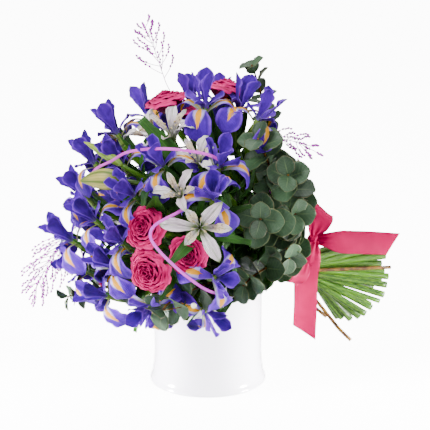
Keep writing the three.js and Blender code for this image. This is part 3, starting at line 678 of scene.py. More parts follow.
# %% The irises
FALL = [(1, -6), (9, 1), (19, 6.5), (28, 8.5), (37, 4), (43, -6), (46, -18), (46.5, -31)]
FALL_HALF = [(0, 1.6), (0.2, 5), (0.38, 8), (0.5, 12.5), (0.62, 18), (0.75, 20.5), (0.88, 18.5),
             (0.96, 11), (1, 2)]
STANDARD = [(2.5, -2), (6, 10), (9, 23), (12.5, 36), (16, 48), (19, 57)]
STANDARD_HALF = [(0, 2), (0.3, 4), (0.5, 8.5), (0.68, 12.5), (0.84, 11.5), (0.95, 6), (1, 1)]
STYLE = [(1.5, 3), (8, 11), (17, 18.5), (26, 23.5), (33, 26.5), (38, 32)]
STYLE_HALF = [(0, 2), (0.3, 5.5), (0.6, 9), (0.8, 11), (0.93, 9), (1, 4)]
IRIS_TUBE, STYLE_SIZE = 16, 0.76

# lean, turn, lift off the dome, rise of the axis towards straight up, roll, size
IRISES = [
    (62, -20, 6, 0.6, 0, 1), (68, -60, -6, 0.5, -40, 0.95), (70, -78, 6, 0.4, 25, 0.95),
    (95, -113, 0, 0.65, 12, 0.95), (112, -138, 2, 0.6, 10, 0.85), (78, -149, 0, 0.5, 10, 0.9),
    (35, -62, 0, 0.4, 10, 0.9), (23, -97, 0, 0.3, 10, 0.9), (8, -10, 0, 0.5, 30, 0.9),
    (88, -15, 2, 0.5, 20, 0.95), (96, -26, 11, 0.4, 70, 0.9), (73, 19, -6, 0.5, 50, 0.9),
    (92, 15, 1, 0.5, 10, 0.85), (34, 52, 12, 0.7, 50, 0.95), (18, 82, 20, 0.8, 30, 0.9),
    (26, 122, 14, 0.8, 40, 0.9), (24, 166, 3, 0.8, 34, 0.9), (37, 160, 30, 0.8, 50, 0.95),
    (36, -140, 0, 0.7, 15, 0.9), (46, -160, 0, 0.8, 46, 0.9), (53, 166, 18, 0.8, 30, 0.9),
    (65, -178, 10, 0.8, 50, 0.9), (64, 48, 8, 0.4, 30, 0.95), (60, 112, 4, 0.2, 20, 0.95),
    (92, 76, 2, 0.2, 50, 0.95), (88, 136, 2, 0.1, 20, 0.95),
]
draw = np.random.default_rng(7)


def iris(name, lean, turn, lift, rise, roll, size):
    place = bloom_place(lean, turn, lift, rise, roll)
    origin, up = place[:2]
    bloom = Sheaf()
    for degrees in (0, 120, 240):
        fall, between = turned(place, degrees), turned(place, degrees + 60)
        a, b, c, d, e, f = draw.uniform(-1, 1, 6)
        bloom.grid(petal(fall, FALL, FALL_HALF, 30, 21, cup=-2.2 + a, ruffle=2.4, waves=2.2,
                         phase=3 * b, ridge=1.0, crinkle=0.5, tilt=4 * c, yaw=3 * d, size=size),
                   0, 0.5 + 0.5 * e)
        bloom.grid(petal(fall, STYLE, STYLE_HALF, 16, 9, cup=-4.5, ruffle=0.6, waves=2, phase=2 * f,
                         ridge=1.0, notch=0.34, crinkle=0.25, tilt=3 * b, size=STYLE_SIZE * size),
                   2, 0.5 + 0.5 * a)
        bloom.grid(petal(between, STANDARD, STANDARD_HALF, 24, 15, cup=4.2 + b, ruffle=1.9, waves=2.6,
                         phase=3 * d, ridge=-0.7, crinkle=0.45, tilt=5 * f, yaw=6 * a, size=size),
                   1, 0.5 + 0.5 * c)
    neck = origin + up * column(6, -IRIS_TUBE, 7)
    bloom.rod(neck, [2, 4, 4.4, 4.2, 4.4, 4.8, 5], 10, 3, 0.4)
    bloom.make(name + "_bloom", IRIS_FINISHES, name, thickness=0.35)
    green_stem(name, origin - up * (IRIS_TUBE + GAP), -up, [(0, 5), (20, 5.8), (50, 5), (80, 4)], 5)


make_all("iris", iris, IRISES)

# %% [markdown]
# ## Roses
#
# A rose is a spiral: each petal stands 137.5 degrees round from the last and a little further out. The
# inner ones wrap tightly and stand up, the outer ones open and roll their lips over. One formula with
# the petal's place in the spiral as a parameter makes them all. Their colour carries painted shade,
# darker towards each petal's base deep inside the folds, and a painted highlight, lighter on the lips.


# %% Rose finish
def rose_finish(name, deep, mid, lip):
    material, w = finish(name, Roughness=0.55, Specular_IOR_Level=0.2, Specular_Tint=rgb("FF4A90"))
    _, along, lines = veined(w, 13.0, 3.0)
    # painted shade: each petal is darker towards its base, deep inside the folds
    colour = w.mix(w.step(along, 0.35, 0.85), rgb(deep), rgb(mid))
    colour = w.over(colour, deep, lines, 0.25)
    colour = w.over(colour, lip, w.times(w.group(mottle, Scale=60.0), w.tone()), 0.5)
    # painted highlight: the lip colour laid over the last part of each petal, the rolled lip
    colour = w.over(colour, lip, w.step(along, 0.88, 1.0), 0.9)
    paint(w, colour, lines)
    return material


# 3E0018 is the painted shade in the folds, F03088 the painted highlight on the lips, 960044 the petals' own
# pink
rose_pink = rose_finish("rose_pink", "3E0018", "960044", "F03088")
print("rose finish:", rose_pink.name)

# %% Rose shape
ROSE_PETALS, GOLDEN_ANGLE = 34, 137.5
ROSE_HEART, ROSE_SPREAD = 2.6, 24.6  # the first petal's distance from the axis, and the last one's more
ROSE_CUP = 15  # depth of the petals below the bloom's place

# lean, turn, lift, rise, size
ROSES = [
    (52, 13, 11, 0.5, 1.08), (59, 3, -9, 0.5, 0.95), (86, 1, 20, 0.58, 1.15), (41, -112, 4, 0.2, 1),
    (59, -129, 6, 0.1, 1), (71, -110, -8, 0.2, 0.85), (62, 80, 6, 0.3, 1), (66, 150, 2, 0.1, 1),
]


def rose_petal(place, k, size, shake, rise):
    """A cup: angle a = s h w(t) round the axis, distance r(t) that rolls out at the lip, height z(t)
    that falls towards the petal's sides. The share opened is 0 for the heart and 1 outside."""
    origin, up, out, sideways = turned(place, GOLDEN_ANGLE * k)
    opened = k / (ROSE_PETALS - 1)
    t, s = column(0, 1, 13), np.linspace(-1, 1, 17)[None, :]
    wide = 0.4 + 0.6 * np.sin(np.pi / 2 * np.minimum(t / 0.55, 1))
    wide = wide * (1 - 0.18 * np.clip((t - 0.8) / 0.2, 0, 1)**2)
    angle = s * np.radians(70 - 34 * opened) * wide
    lip = np.clip((t - 0.68) / 0.32, 0, 1)
    roll = (0.22 * opened + 0.03) * lip**1.5 * (1 - 0.2 * s**2)
    swell = 0.34 + 0.66 * np.sin(np.pi / 2 * np.minimum(t / 0.7, 1))
    frill = 1.5 * np.sin(5 * s + shake) + 0.7 * np.sin(11 * s - 2 * shake)
    reach = (ROSE_HEART + ROSE_SPREAD * opened**0.85) * (swell * (1 + 0.05 * s) + roll)
    reach = reach + lip * frill * (0.35 + 0.65 * opened)
    top = 15.5 - 10.5 * opened + rise
    height = (top + ROSE_CUP) * np.sin(np.pi / 2 * np.minimum(t / 0.92, 1)) - ROSE_CUP
    height = height - 5.5 * opened * lip**2 * (1 - 0.3 * s**2) - (1.5 + 3.5 * opened) * s**2 * t
    height = height + 0.5 * lip * np.sin(8 * s + 2 * shake)
    ring = out * np.cos(angle)[..., None] + sideways * np.sin(angle)[..., None]
    return origin + size * (ring * reach[..., None] + up * height[..., None])


def rose(name, lean, turn, lift, rise, size):
    place = bloom_place(lean, turn, lift, rise)
    origin, up = place[:2]
    bloom = Sheaf()
    for k in range(ROSE_PETALS):
        a, b, c = draw.uniform(-1, 1, 3)
        bloom.grid(rose_petal(place, k, size, 3 * a, 1.2 * c), 0, 0.5 + 0.5 * b)
    heart = origin + up * column(-17, 4, 7) * size
    bloom.rod(heart, np.array([4, 9, 11, 8, 5, 3.2, 1.5]) * size, 12, 0, 0.2)
    bloom.make(name + "_bloom", [rose_pink], name, thickness=0.4)
    green_stem(name, origin - up * (19 * size + GAP), -up, [(0, 7), (6, 6.4), (14, 4.2)], 4.8)


make_all("rose", rose, ROSES)

# %% [markdown]
# ## Alstroemerias
#
# An alstroemeria floret is a funnel of six white tepals. The three outer ones are broad, with a green
# tip. The three inner ones are narrow and carry dark flecks on a yellow throat. The flecks are a noise
# on the petal coordinates that is cut off sharply. Six thin stamens stand in the middle.


# %% Alstroemeria finishes
def tepal_finish(name, flecked):
    material, w = finish(name, Roughness=0.5, Specular_IOR_Level=0.3)
    aside, along, lines = veined(w, 5.0, 3.0)
    colour = w.over(rgb("F4F1F2"), "CBBAC8", w.group(mottle, Scale=35.0), 0.8)
    colour = w.over(colour, "97808F", lines, 0.7)
    midrib = w.times(w.step(w.math("ABSOLUTE", aside), 0.2, 0.02), w.step(along, 0.35, 0.9))
    tip = w.times(w.step(along, 0.84, 0.99), 0.85)
    colour = w.over(colour, "7E9C58", w.math("MAXIMUM", w.times(midrib, 0.7), tip))
    colour = w.over(colour, "8FA562", w.step(along, 0.45, 0.15))
    if flecked:
        throat = w.times(w.step(along, 0.35, 0.5), w.step(along, 0.8, 0.62))
        colour = w.over(colour, "EBD36A", throat, 0.4)
        places = w.put("ShaderNodeCombineXYZ")
        for socket, value, scale in zip(places.inputs, (aside, along, w.tone()), (6.0, 6.0, 9.0)):
            w.feed(socket, w.times(value, scale))
        specks = w.step(w.noise(places.outputs[0], 2.2, 1.0), 0.58, 0.64)
        flecked_part = w.times(w.step(along, 0.3, 0.42), w.step(along, 0.93, 0.8))
        colour = w.over(colour, "5E1230", w.times(specks, flecked_part))
    paint(w, colour, lines, 0.8)
    return material


outer_white, inner_white = tepal_finish("outer_white", False), tepal_finish("inner_white", True)
anther, w = finish("anther", Roughness=0.8)
paint(w, w.mix(w.noise(w.where(), 2500.0), rgb("6E5A3A"), rgb("C9B98A")))
print("alstroemeria finishes:", outer_white.name, inner_white.name, anther.name)

# %% Alstroemeria shape
OUTER_TEPAL = [(0.6, -14), (4, -6), (9, 3), (17, 11.5), (26, 16), (36, 16.5), (45, 12)]
OUTER_HALF = [(0, 1), (0.25, 2.6), (0.45, 5.2), (0.6, 7.6), (0.74, 7.8), (0.87, 5), (0.96, 1.8), (1, 0.4)]
INNER_TEPAL = [(0.6, -11), (3.5, -2), (8, 7), (14, 15), (20, 22), (26, 27), (31, 30.5)]
INNER_HALF = [(0, 1), (0.3, 2.2), (0.55, 4.6), (0.7, 5.6), (0.86, 4), (0.96, 1.6), (1, 0.4)]

# lean, turn, lift, rise, then each floret's tilt, direction, roll and size
ALSTROEMERIAS = [
    (35, -19, -5, 0.5, [(26, 285, 20, 1), (18, 100, 0, 1)]),
    (50, -80, 3, 0.3, [(4, 0, 30, 0.85)]),
    (67, -92, 14, 0.2, [(6, 30, 0, 1.15)]),
    (54, -54, -13, 0.4, [(4, 0, 40, 0.85)]),
    (92, 106, 4, 0.2, [(24, 0, 20, 0.95), (26, 180, 0, 0.95)]),
]
FLORET_REACH = 48  # from the joint of the stalks to a floret's throat


def stamens(bloom, floret, size):
    """Six threads that curve out of the throat, each with a spindle across its end."""
    throat, up = floret[:2]
    t = column(0, 1, 7)
    for k in range(6):
        lean_out = turned(floret, 60 * k + 20)[2]
        thread = throat + size * (up * (-8 + 28 * t) + lean_out * (1.5 + 7 * t**2))
        bloom.rod(thread, 0.45, 5, 0, 0.6)
        head = thread[-1] + size * lean_out * column(-2, 2, 5)
        bloom.rod(head, [0.3, 1, 1.2, 1, 0.3], 6, 2)


def alstroemeria(name, lean, turn, lift, rise, florets):
    place = bloom_place(lean, turn, lift, rise)
    origin, axis = place[:2]
    joint = origin - axis * FLORET_REACH
    bloom = Sheaf()
    for tilt, toward, roll, size in florets:
        outward = turned(place, toward)
        up = turn_about(axis, outward[3], tilt)
        throat = joint + up * FLORET_REACH
        floret = place_at(throat, up, turn_about(across(outward[2], up), up, roll))
        for degrees in (0, 120, 240):
            a, b, c, d = draw.uniform(-1, 1, 4)
            bloom.grid(petal(turned(floret, degrees), OUTER_TEPAL, OUTER_HALF, 22, 15, cup=3.6,
                             ruffle=2.8, phase=3 * a, ridge=-1.6, crinkle=1.2, tilt=24 * b, yaw=14 * d,
                             size=size), 0, 0.5 + 0.4 * c)
            bloom.grid(petal(turned(floret, degrees + 60), INNER_TEPAL, INNER_HALF, 20, 11, cup=2.8,
                             ruffle=1.8, phase=2 * d, ridge=-0.8, crinkle=0.6, tilt=16 * c, yaw=12 * b,
                             size=size), 1, 0.5 + 0.4 * a)
        stamens(bloom, floret, size)
        stalk = through([joint - axis * 3, throat - up * 18 * size, throat - up * 8], 9)
        bloom.rod(stalk, np.linspace(2, 3.4, 9), 8, 3)
    bloom.make(name + "_head", [outer_white, inner_white, anther, stem_green], name,
               thickness=0.35)
    green_stem(name, joint - axis * (3 + GAP), -axis, [(0, 2.6), (30, 3)], 3.6)


make_all("alstroemeria", alstroemeria, ALSTROEMERIAS)

# %% [markdown]
# ## Buds
#
# The large lily bud is still closed: three of its tepals show, with deep grooves between them. Its
# section is a circle whose radius swells and dips three times round, and six green ribs with finer lines
# between them are painted along it. The slender bud is the same form, thinner and more yellow.


# %% Bud finish and shape
def bud_finish(name, base, middle, tip):
    material, w = finish(name, Roughness=0.45, Specular_IOR_Level=0.3)
    aside, along = w.petal_place()
    patches = w.group(mottle, Scale=70.0)
    colour = w.mix(w.step(along, 0.0, 0.45), rgb(base), rgb(middle))
    colour = w.over(colour, tip, w.step(along, 0.6, 1.0))
    colour = w.over(colour, tip, patches, 0.3)
    ribs, fine = w.stripes(w.times(aside, 3 * np.pi), 6.0), w.stripes(w.times(aside, 9 * np.pi), 6.0)
    colour = w.over(colour, base, w.math("MAXIMUM", ribs, w.times(fine, 0.45)), 0.9)
    paint(w, colour, patches, 0.15)
    return material


lily_skin = bud_finish("lily_skin", "2C5008", "A89C54", "5F7024")
slender_skin = bud_finish("slender_skin", "44691B", "7E9A2A", "A3AC3C")
BUD_ROWS, BUD_SIDES = 26, 24


def bud(name, base, tip, radii, folds, skin_finish):
    """Radius r(t) times 1 + folds (|cos 1.5 a| - 0.6) sin(pi t), round a slightly raised middle line."""
    base, tip = vec(*base), vec(*tip)
    t = np.linspace(0, 1, BUD_ROWS)
    line = base + (tip - base) * t[:, None]
    line = line + UP * (min(np.linalg.norm(tip - base) * 0.06, 3) * np.sin(np.pi * t))[:, None]
    smooth = through(np.array(radii, float)[:, None], BUD_ROWS)[:, 0]
    rings = tube(line, smooth, BUD_SIDES)
    angle = np.linspace(0, 2 * np.pi, BUD_SIDES, endpoint=False)
    fold = 1 + folds * (np.abs(np.cos(1.5 * angle)) - 0.6) * np.sin(np.pi * t)[:, None]
    piece = Sheaf()
    piece.grid(line[:, None] + (rings - line[:, None]) * fold[..., None], closed=True, caps=True)
    piece.make(name + "_skin", [skin_finish], name)
    heading = unit(tip - base)
    green_stem(name, base - heading * GAP, -heading, [(0, 3)], 3.4)


bud("lily_bud", (-113, -140, 338), (-176, -120, 334), [3, 11, 14.5, 14, 11.5, 7, 1.2], 0.16, lily_skin)
bud("slender_bud", (-118, -105, 352), (-176, -60, 378), [2.5, 6, 7.3, 7.2, 5.6, 3.4, 0.8], 0.1,
    slender_skin)
print("two buds")

# %% [markdown]
# ## Eucalyptus
#
# The eucalyptus has round, waxy grey-green leaves in pairs, each pair turned a quarter from the last,
# on a brown woody stem. A leaf is a shallow cup with a pale midrib, side veins and a thin brown or
# olive edge. The waxy bloom is a dull grey-green finish with mottling.

# %% Eucalyptus finishes
round_leaf, w = finish("round_leaf", Roughness=0.5, Specular_IOR_Level=0.3)
aside, along = w.petal_place()
width = w.math("ABSOLUTE", aside)
colour = w.mix(shade(w, 50.0, 0.75, 0.25), rgb("172817"), rgb("3A563A"))
slanted = w.math("SUBTRACT", w.times(along, 7.0), w.times(width, 2.2))
side_veins = w.stripes(w.times(slanted, np.pi), 18.0)
midrib = w.times(w.step(width, 0.07, 0.02), w.step(along, 1.0, 0.3))
colour = w.over(colour, "5F7448", w.math("MAXIMUM", w.times(side_veins, 0.25), midrib), 0.45)
edge = w.math("MAXIMUM", w.step(width, 0.93, 0.99), w.step(along, 0.965, 0.995))
colour = w.mix(w.times(edge, 0.35), colour, w.mix(w.tone(), rgb("7F6148"), rgb("7F7F45")))
paint(w, colour, w.math("ADD", w.times(side_veins, 0.5), midrib), 0.35)

bark, w = finish("bark", Roughness=0.6, Specular_IOR_Level=0.2)
paint(w, w.mix(w.group(mottle, Scale=130.0), rgb("2E1408"), rgb("6B4A14")), 0.5, 0.5, 500.0)

berry_white, w = finish("berry_white", Roughness=0.35)
paint(w, w.mix(w.group(mottle, Scale=120.0), rgb("F4F1E6"), rgb("DDE0C0")))
print("eucalyptus finishes:", round_leaf.name, bark.name, berry_white.name)

# %% Eucalyptus shape
LEAF_LINE = [(0, 0), (0.2, 0.035), (0.45, 0.06), (0.7, 0.04), (0.96, -0.02)]
LEAF_HALF = [(0, 0.03), (0.1, 0.2), (0.26, 0.38), (0.46, 0.47), (0.66, 0.46), (0.82, 0.37), (0.93, 0.22),
             (1, 0.02)]

# tip, the direction it points, pairs of leaves near the tip, leaf length
SPRAYS = [
    ((64, -5, 482), (-0.4, -0.1, 0.9), 4, 28), ((70, -112, 392), (-0.3, -0.6, 0.7), 4, 41),
    ((112, -128, 344), (0.1, -0.95, 0.25), 5, 42), ((124, -108, 284), (0.4, -0.85, 0.1), 4, 43),
    ((72, -172, 292), (0, -0.95, 0.1), 4, 42), ((118, -84, 212), (0.2, -0.85, -0.4), 4, 40),
    ((50, -146, 190), (-0.5, -0.7, -0.4), 3, 40), ((-206, -64, 148), (-0.8, -0.1, -0.55), 3, 30),
    ((-62, -178, 164), (-0.4, -0.6, -0.6), 3, 48), ((80, 95, 350), (0.3, 0.7, 0.6), 4, 42),
    ((70, 140, 235), (0.1, 0.95, 0.1), 3, 42),
]
LEAF_SPACING, INNER_PAIRS, BARE = 0.62, 4, 85  # the spray is bare this close to the tie
BERRY_SPRAY, BERRY, BERRY_RADIUS = "eucalyptus_09", vec(-18, -199, 178), 3.6


def place_along(path, distance):
    """The point and direction at a distance along a path."""
    reach = distances(path)
    point = np.array([np.interp(distance, reach, path[:, i]) for i in range(3)])
    i = min(np.searchsorted(reach, distance, "right") - 1, len(path) - 2)
    return point, unit(path[i + 1] - path[i])


def leaf_pair(spray, k, point, sideways, grow, size):
    """Two leaves on either side of the stem, each pair a quarter turn from the last."""
    for flip in (0, 180):
        a, b, c = draw.uniform(-1, 1, 3)
        radial = turn_about(sideways, grow, 90 * k + flip + 18 * a)
        tilt = np.radians(26 + 18 * b)
        out = radial * np.cos(tilt) + grow * np.sin(tilt)
        place = place_at(point + out * 1.2, turn_about(across(grow, out), out, 24 * c), out)
        spray.grid(petal(place, LEAF_LINE, LEAF_HALF, 12, 9, cup=0.11 + 0.06 * a, ruffle=0.03,
                         phase=3 * b, ridge=-0.015, size=size * (1 + 0.06 * c)), 0, 0.5 + 0.48 * c)


def berry(spray, tip):
    """A small white ball with a dimple in its end, on a thread from the tip of the spray."""
    t = np.linspace(0, np.pi, 12)[:, None, None]
    turn = np.linspace(0, 2 * np.pi, 16, endpoint=False)[:, None]
    ring = np.cos(turn) * vec(1, 0, 0) + np.sin(turn) * UP
    dimpled = np.cos(t) - 0.3 * np.sin(t)**8
    ball = BERRY + BERRY_RADIUS * (np.sin(t) * ring - dimpled * vec(0, 1, 0))
    spray.grid(ball, 2, closed=True, caps=True)
    spray.rod(through([BERRY, BERRY + vec(-4, 8, -2), tip], 12), 0.5, 6, 1)


def eucalyptus(name, tip, heading, pairs, leaf_length):
    tip, heading = vec(*tip), unit(vec(*heading))
    path = stem_path(tip, -heading, WOODY_RING, next_spare())
    spray = Sheaf()
    spray.rod(path, np.linspace(1.0, 2.6, len(path)), 8, 1)
    sideways = level_side(unit(path[1] - path[0]), 0.8)
    distance = 2
    for k in range(pairs + INNER_PAIRS):
        size = leaf_length * (0.55 + 0.45 * min(1, (k + 1) / 3))
        point, tangent = place_along(path, distance)
        distance += LEAF_SPACING * size
        sideways = across(sideways, -tangent)
        if np.linalg.norm(point - TIE) < BARE:
            break
        leaf_pair(spray, k, point, sideways, -tangent, size)
    if name == BERRY_SPRAY:
        berry(spray, tip)
    spray.make(name + "_spray", [round_leaf, bark, berry_white], name, thickness=0.5)


make_all("eucalyptus", eucalyptus, SPRAYS)

# %% [markdown]
# ## The green stems and long leaves
#
# The stems were gathered while the flowers were made. Now each becomes a tube with its cut end in a
# paler finish. Two pointed sheaths hug the swollen part below each iris, and five sepals spread below
# each rose. They are petals with another outline, so the same function makes them.

# %% Stems, sheaths and sepals
greens = Sheaf()
path_of = {}
for name, path, radii in stems:
    smooth = cut_corners(np.column_stack([path, radii]), 1)
    greens.rod(smooth[:, :3], smooth[:, 3], 10, 0, 0.5 + 0.5 * draw.uniform(-1, 1), cap_finish=1)
    path_of[name] = path

SHEATH_LINE = [(0, 0), (0.3, 0.04), (0.6, 0.05), (0.85, 0.04), (1, 0.02)]
SHEATH_HALF = [(0, 0.11), (0.3, 0.13), (0.6, 0.11), (0.85, 0.05), (1, 0.008)]
SEPAL_LINE = [(0.1, 0.1), (0.35, 0.32), (0.7, 0.34), (1, 0.18)]
SEPAL_HALF = [(0, 0.12), (0.4, 0.17), (0.8, 0.08), (1, 0.01)]
SHEATH_ROOT, SHEATH_OFF, SHEATH_LENGTH, SEPAL_LENGTH = 42, 4.2, 62, 26
for name, path in path_of.items():
    grow = unit(path[0] - path[1])
    sideways = level_side(grow, 0.9)
    if name.startswith("iris"):
        root, _ = place_along(path, SHEATH_ROOT)
        for degrees in (40, 220):
            radial = turn_about(sideways, grow, degrees)
            place = place_at(root + radial * SHEATH_OFF, radial, grow)
            greens.grid(petal(place, SHEATH_LINE, SHEATH_HALF, 12, 7, cup=-0.055, size=SHEATH_LENGTH),
                        2, 0.7)
    if name.startswith("rose"):
        for degrees in range(0, 360, 72):
            place = place_at(path[0] + grow * 1.5, grow, turn_about(sideways, grow, degrees))
            greens.grid(petal(place, SEPAL_LINE, SEPAL_HALF, 9, 5, cup=0.04, size=SEPAL_LENGTH), 2, 0.4)
print(len(stems), "green stems")

# %% [markdown]
# ## Long and narrow leaves
#
# A few long leaves are laid from a stem to a chosen tip, folded along the midrib. Narrow dark leaves
# fill the bouquet below the flowers. They stand round each stem by the golden angle, as leaves grow, so
# no two of them cover each other.

# %% Long leaves
# the bloom whose stem carries the leaf, how far down, the leaf's tip, its half width
LONG_LEAVES = [
    ("alstroemeria_04", 2, (-91, -115, 420), 13), ("iris_08", 30, (-68, -197, 330), 15),
    ("alstroemeria_02", 26, (-4, -192, 336), 5), ("alstroemeria_03", 5, (-50, -222, 242), 9),
    ("alstroemeria_03", 20, (60, -184, 262), 7), ("iris_03", 40, (60, -178, 312), 6),
    ("iris_22", 30, (-122, -140, 176), 11), ("alstroemeria_01", 4, (-87, -112, 391), 8),
]
BLADE_LINE = [(0, 0), (0.2, 0.045), (0.45, 0.08), (0.75, 0.065), (1, 0)]
BLADE_SHARES = [(0, 0.35), (0.25, 0.85), (0.5, 1), (0.75, 0.8), (0.92, 0.35), (1, 0.02)]
for name, distance, tip, half in LONG_LEAVES:
    root, _ = place_along(path_of[name], distance)
    length = np.linalg.norm(vec(*tip) - root)
    out = unit(vec(*tip) - root)
    wide = half / length
    greens.grid(petal(place_at(root, across(TO_VIEWER, out), out), BLADE_LINE,
                      np.array(BLADE_SHARES) * (1, wide), 24, 9, cup=0.3 * wide, ruffle=0.06 * wide,
                      waves=2, ridge=-0.1 * wide, size=length), 2, 0.3 + 0.3 * draw.uniform(-1, 1))
print(len(LONG_LEAVES), "long leaves")

# %% Narrow leaves
LANCE_LINE = [(0, 0), (0.25, 0.05), (0.5, 0.07), (0.75, 0.04), (1, -0.04)]
LANCE_HALF = [(0, 0.015), (0.2, 0.08), (0.45, 0.12), (0.7, 0.09), (0.9, 0.035), (1, 0.004)]
FIRST_LEAF, LEAF_STEP, DEEPER = 44, 15, 25  # places down the stem
NEAR_LEAVES, DEEP_LEAVES = 4, 3
NEAR_LENGTH, DEEP_LENGTH, DEEP_WIDER = 60, 78, 1.5
leaf_count = 0
for path in path_of.values():
    for k in range(NEAR_LEAVES + DEEP_LEAVES):
        a, b, c = draw.uniform(-1, 1, 3)
        deep = k >= NEAR_LEAVES
        root, tangent = place_along(path, FIRST_LEAF + LEAF_STEP * k + 6 * a + deep * DEEPER)
        outward = unit(root - HEAD)
        radial = turn_about(across(outward, tangent), tangent, GOLDEN_ANGLE * k + 40 * b)
        out = unit(radial - tangent * (0.75 + 0.2 * c))
        half = np.array(LANCE_HALF) * (1, DEEP_WIDER if deep else 1)
        length = (DEEP_LENGTH if deep else NEAR_LENGTH) + 8 * b
        greens.grid(petal(place_at(root, across(outward, out), out), LANCE_LINE, half, 10, 5, cup=0.03,
                          ruffle=0.015, waves=2, phase=3 * a, ridge=-0.012, size=length), 2,
                    0.1 if deep else 0.4 + 0.35 * c)
        leaf_count += 1
greens.make("green_stems_and_leaves", [stem_green, cut_pith, leaf_green], "stems_and_leaves",
            thickness=0.4)
print(leaf_count, "narrow leaves")

# %% [markdown]
# ## Dyed grass
#
# A panicle of dyed grass is a cloud of hair-fine branches with tiny seeds. Each branch is a thin tube
# with few sides, and each seed a small spindle of twenty faces, because there are hundreds of them.

# %% Grass
dyed, w = finish("dyed_grass", Roughness=0.75, Specular_IOR_Level=0.2)
paint(w, w.mix(shade(w, 200.0, 0.7, 0.3), rgb("7A2080"), rgb("C040C4")), 0.5, 0.5, 1500.0)

# name, root, tip, spread of the branches, how many there are, how far the grass droops
GRASSES = [
    ("grass_top", (-62, 14, 455), (-92, 0, 540), 58, 22, 4),
    ("grass_left", (-196, 12, 240), (-262, -20, 140), 80, 46, 12),
    ("grass_right", (80, -60, 385), (155, -45, 362), 45, 20, 6),
]
SEED_LENGTH, SEED_RADII = 4.6, [0.4, 1.7, 1.4, 0.3]
SEED_PLACES = (0.45, 0.62, 0.76, 0.88, 1.0)  # along a branch
TOP_ROWS = 16


def branch(panicle, start, end, radial, length, tones):
    """A hair that bows to its side by a half sine, and a seed at each of its places."""
    def bowed(t):
        return start + (end - start) * t + radial * (length * 0.1 * np.sin(np.pi * t))

    panicle.rod(bowed(column(0, 1, 8)), np.linspace(0.55, 0.35, 8), 4, 0, tones[0])
    for share in SEED_PLACES:
        lean = turn_about(radial, unit(end - start), 140 * share * 9)
        heading = unit(end - start + 0.6 * length * lean)
        seed = bowed(share) + heading * column(0, SEED_LENGTH, 4)
        panicle.rod(seed, SEED_RADII, 4, 0, tones[1])


def grass(name, root, tip, spread, branches, droop):
    root, tip = vec(*root), vec(*tip)
    inner = unit(root - tip)
    path = stem_path(root, inner, WOODY_RING, next_spare())[:STEM_ROWS]
    bend = (root + tip) / 2 + UP * droop
    top = through([tip, (tip + bend) / 2 + UP * droop * 0.2, bend, (bend + root) / 2, root], TOP_ROWS + 1)
    line = np.concatenate([top[:-1], path])
    panicle = Sheaf()
    panicle.rod(line, np.linspace(0.35, 0.9, len(line)), 6, 0, 0.3)
    sideways = level_side(-inner, 0.8, vec(1, 0.2, 0))
    for k in range(branches):
        t = 0.08 + 0.88 * k / branches
        start = top[round((1 - t) * TOP_ROWS)]
        a, b, c = draw.uniform(-1, 1, 3)
        radial = turn_about(sideways, -inner, GOLDEN_ANGLE * k)
        length = spread * (1 - 0.62 * t) * (0.8 + 0.15 * a)
        end = start - inner * length * (0.72 + 0.08 * b) + radial * length * 0.6 - UP * droop * 0.4
        branch(panicle, start, end, radial, length, (0.5 + 0.3 * c, 0.6 + 0.38 * b))
    panicle.make(name + "_panicle", [dyed], name)


for row in GRASSES:
    grass(*row)
print(len(GRASSES), "grass panicles")

# %% [markdown]
# ## Dyed canes
#
# Two flat, bright pink canes are bent over the flowers. The strip is a rounded rectangle carried along a
# smooth curve, with its width turned across the view from the front. Fine grain lines run along it.

# %% Canes
cane_pink, w = finish("cane_pink", Roughness=0.45, Specular_IOR_Level=0.25)
_, _, lines = veined(w, 11.0, 2.0)
colour = w.over(rgb("DC3AD6"), "A827A6", lines, 0.4)
paint(w, w.over(colour, "EA72E4", w.group(mottle, Scale=80.0), 0.3), lines, 0.4)

CANES = {
    "cane_upper": [(-165, -30, 305), (-163, -62, 336), (-132, -118, 362), (-105, -146, 380),
                   (-56, -178, 390), (-4, -192, 386), (18, -172, 372), (22, -140, 355)],
    "cane_lower": [(-26, -176, 312), (-38, -212, 311), (-66, -224, 298), (-74, -228, 284),
                   (-64, -232, 266), (-36, -234, 238), (-9, -226, 214), (8, -196, 196), (14, -160, 186)],
}
CANE_HALF_WIDTH, CANE_HALF_DEPTH, CANE_ROWS = 2.0, 0.7, 60
GRAIN_SPAN = 5.5  # the width that the grain's coordinate counts as a whole


def superellipse(waves, half):
    """The half width times the wave's size to the power 0.6, with its sign: a rounded rectangle."""
    return np.sign(waves) * np.abs(waves)**0.6 * half


angle = np.linspace(0, 2 * np.pi, 20, endpoint=False)
flat_x = superellipse(np.cos(angle), CANE_HALF_WIDTH)[:, None]
flat_y = superellipse(np.sin(angle), CANE_HALF_DEPTH)[:, None]
shares = column(0, 1, CANE_ROWS)
uv = np.stack(np.broadcast_arrays(flat_x.T / GRAIN_SPAN + 0.5, shares), -1)
for name, places in CANES.items():
    line = through(places, CANE_ROWS)
    tangent = unit(np.gradient(line, axis=0))
    wide = unit(np.cross(tangent, TO_VIEWER))
    rings = line[:, None] + np.cross(wide, tangent)[:, None] * flat_y + wide[:, None] * flat_x
    cane = Sheaf()
    cane.grid(rings[:, ::-1], closed=True, caps=True, uv=uv[:, ::-1])
    cane.make(name + "_strip", [cane_pink], name)
print(len(CANES), "canes")

# %% [markdown]
# ## The satin ribbon
#
# One satin ribbon, 36 mm wide, is wound round the stems and tied in a bow. Each stretch is a strip that
# follows a smooth line, with its own direction of width at every place, and it gathers where it enters
# the knot. Satin reflects light mostly across its threads, so the shader is anisotropic, and a fine
# weave of two crossing waves breaks up the highlight.

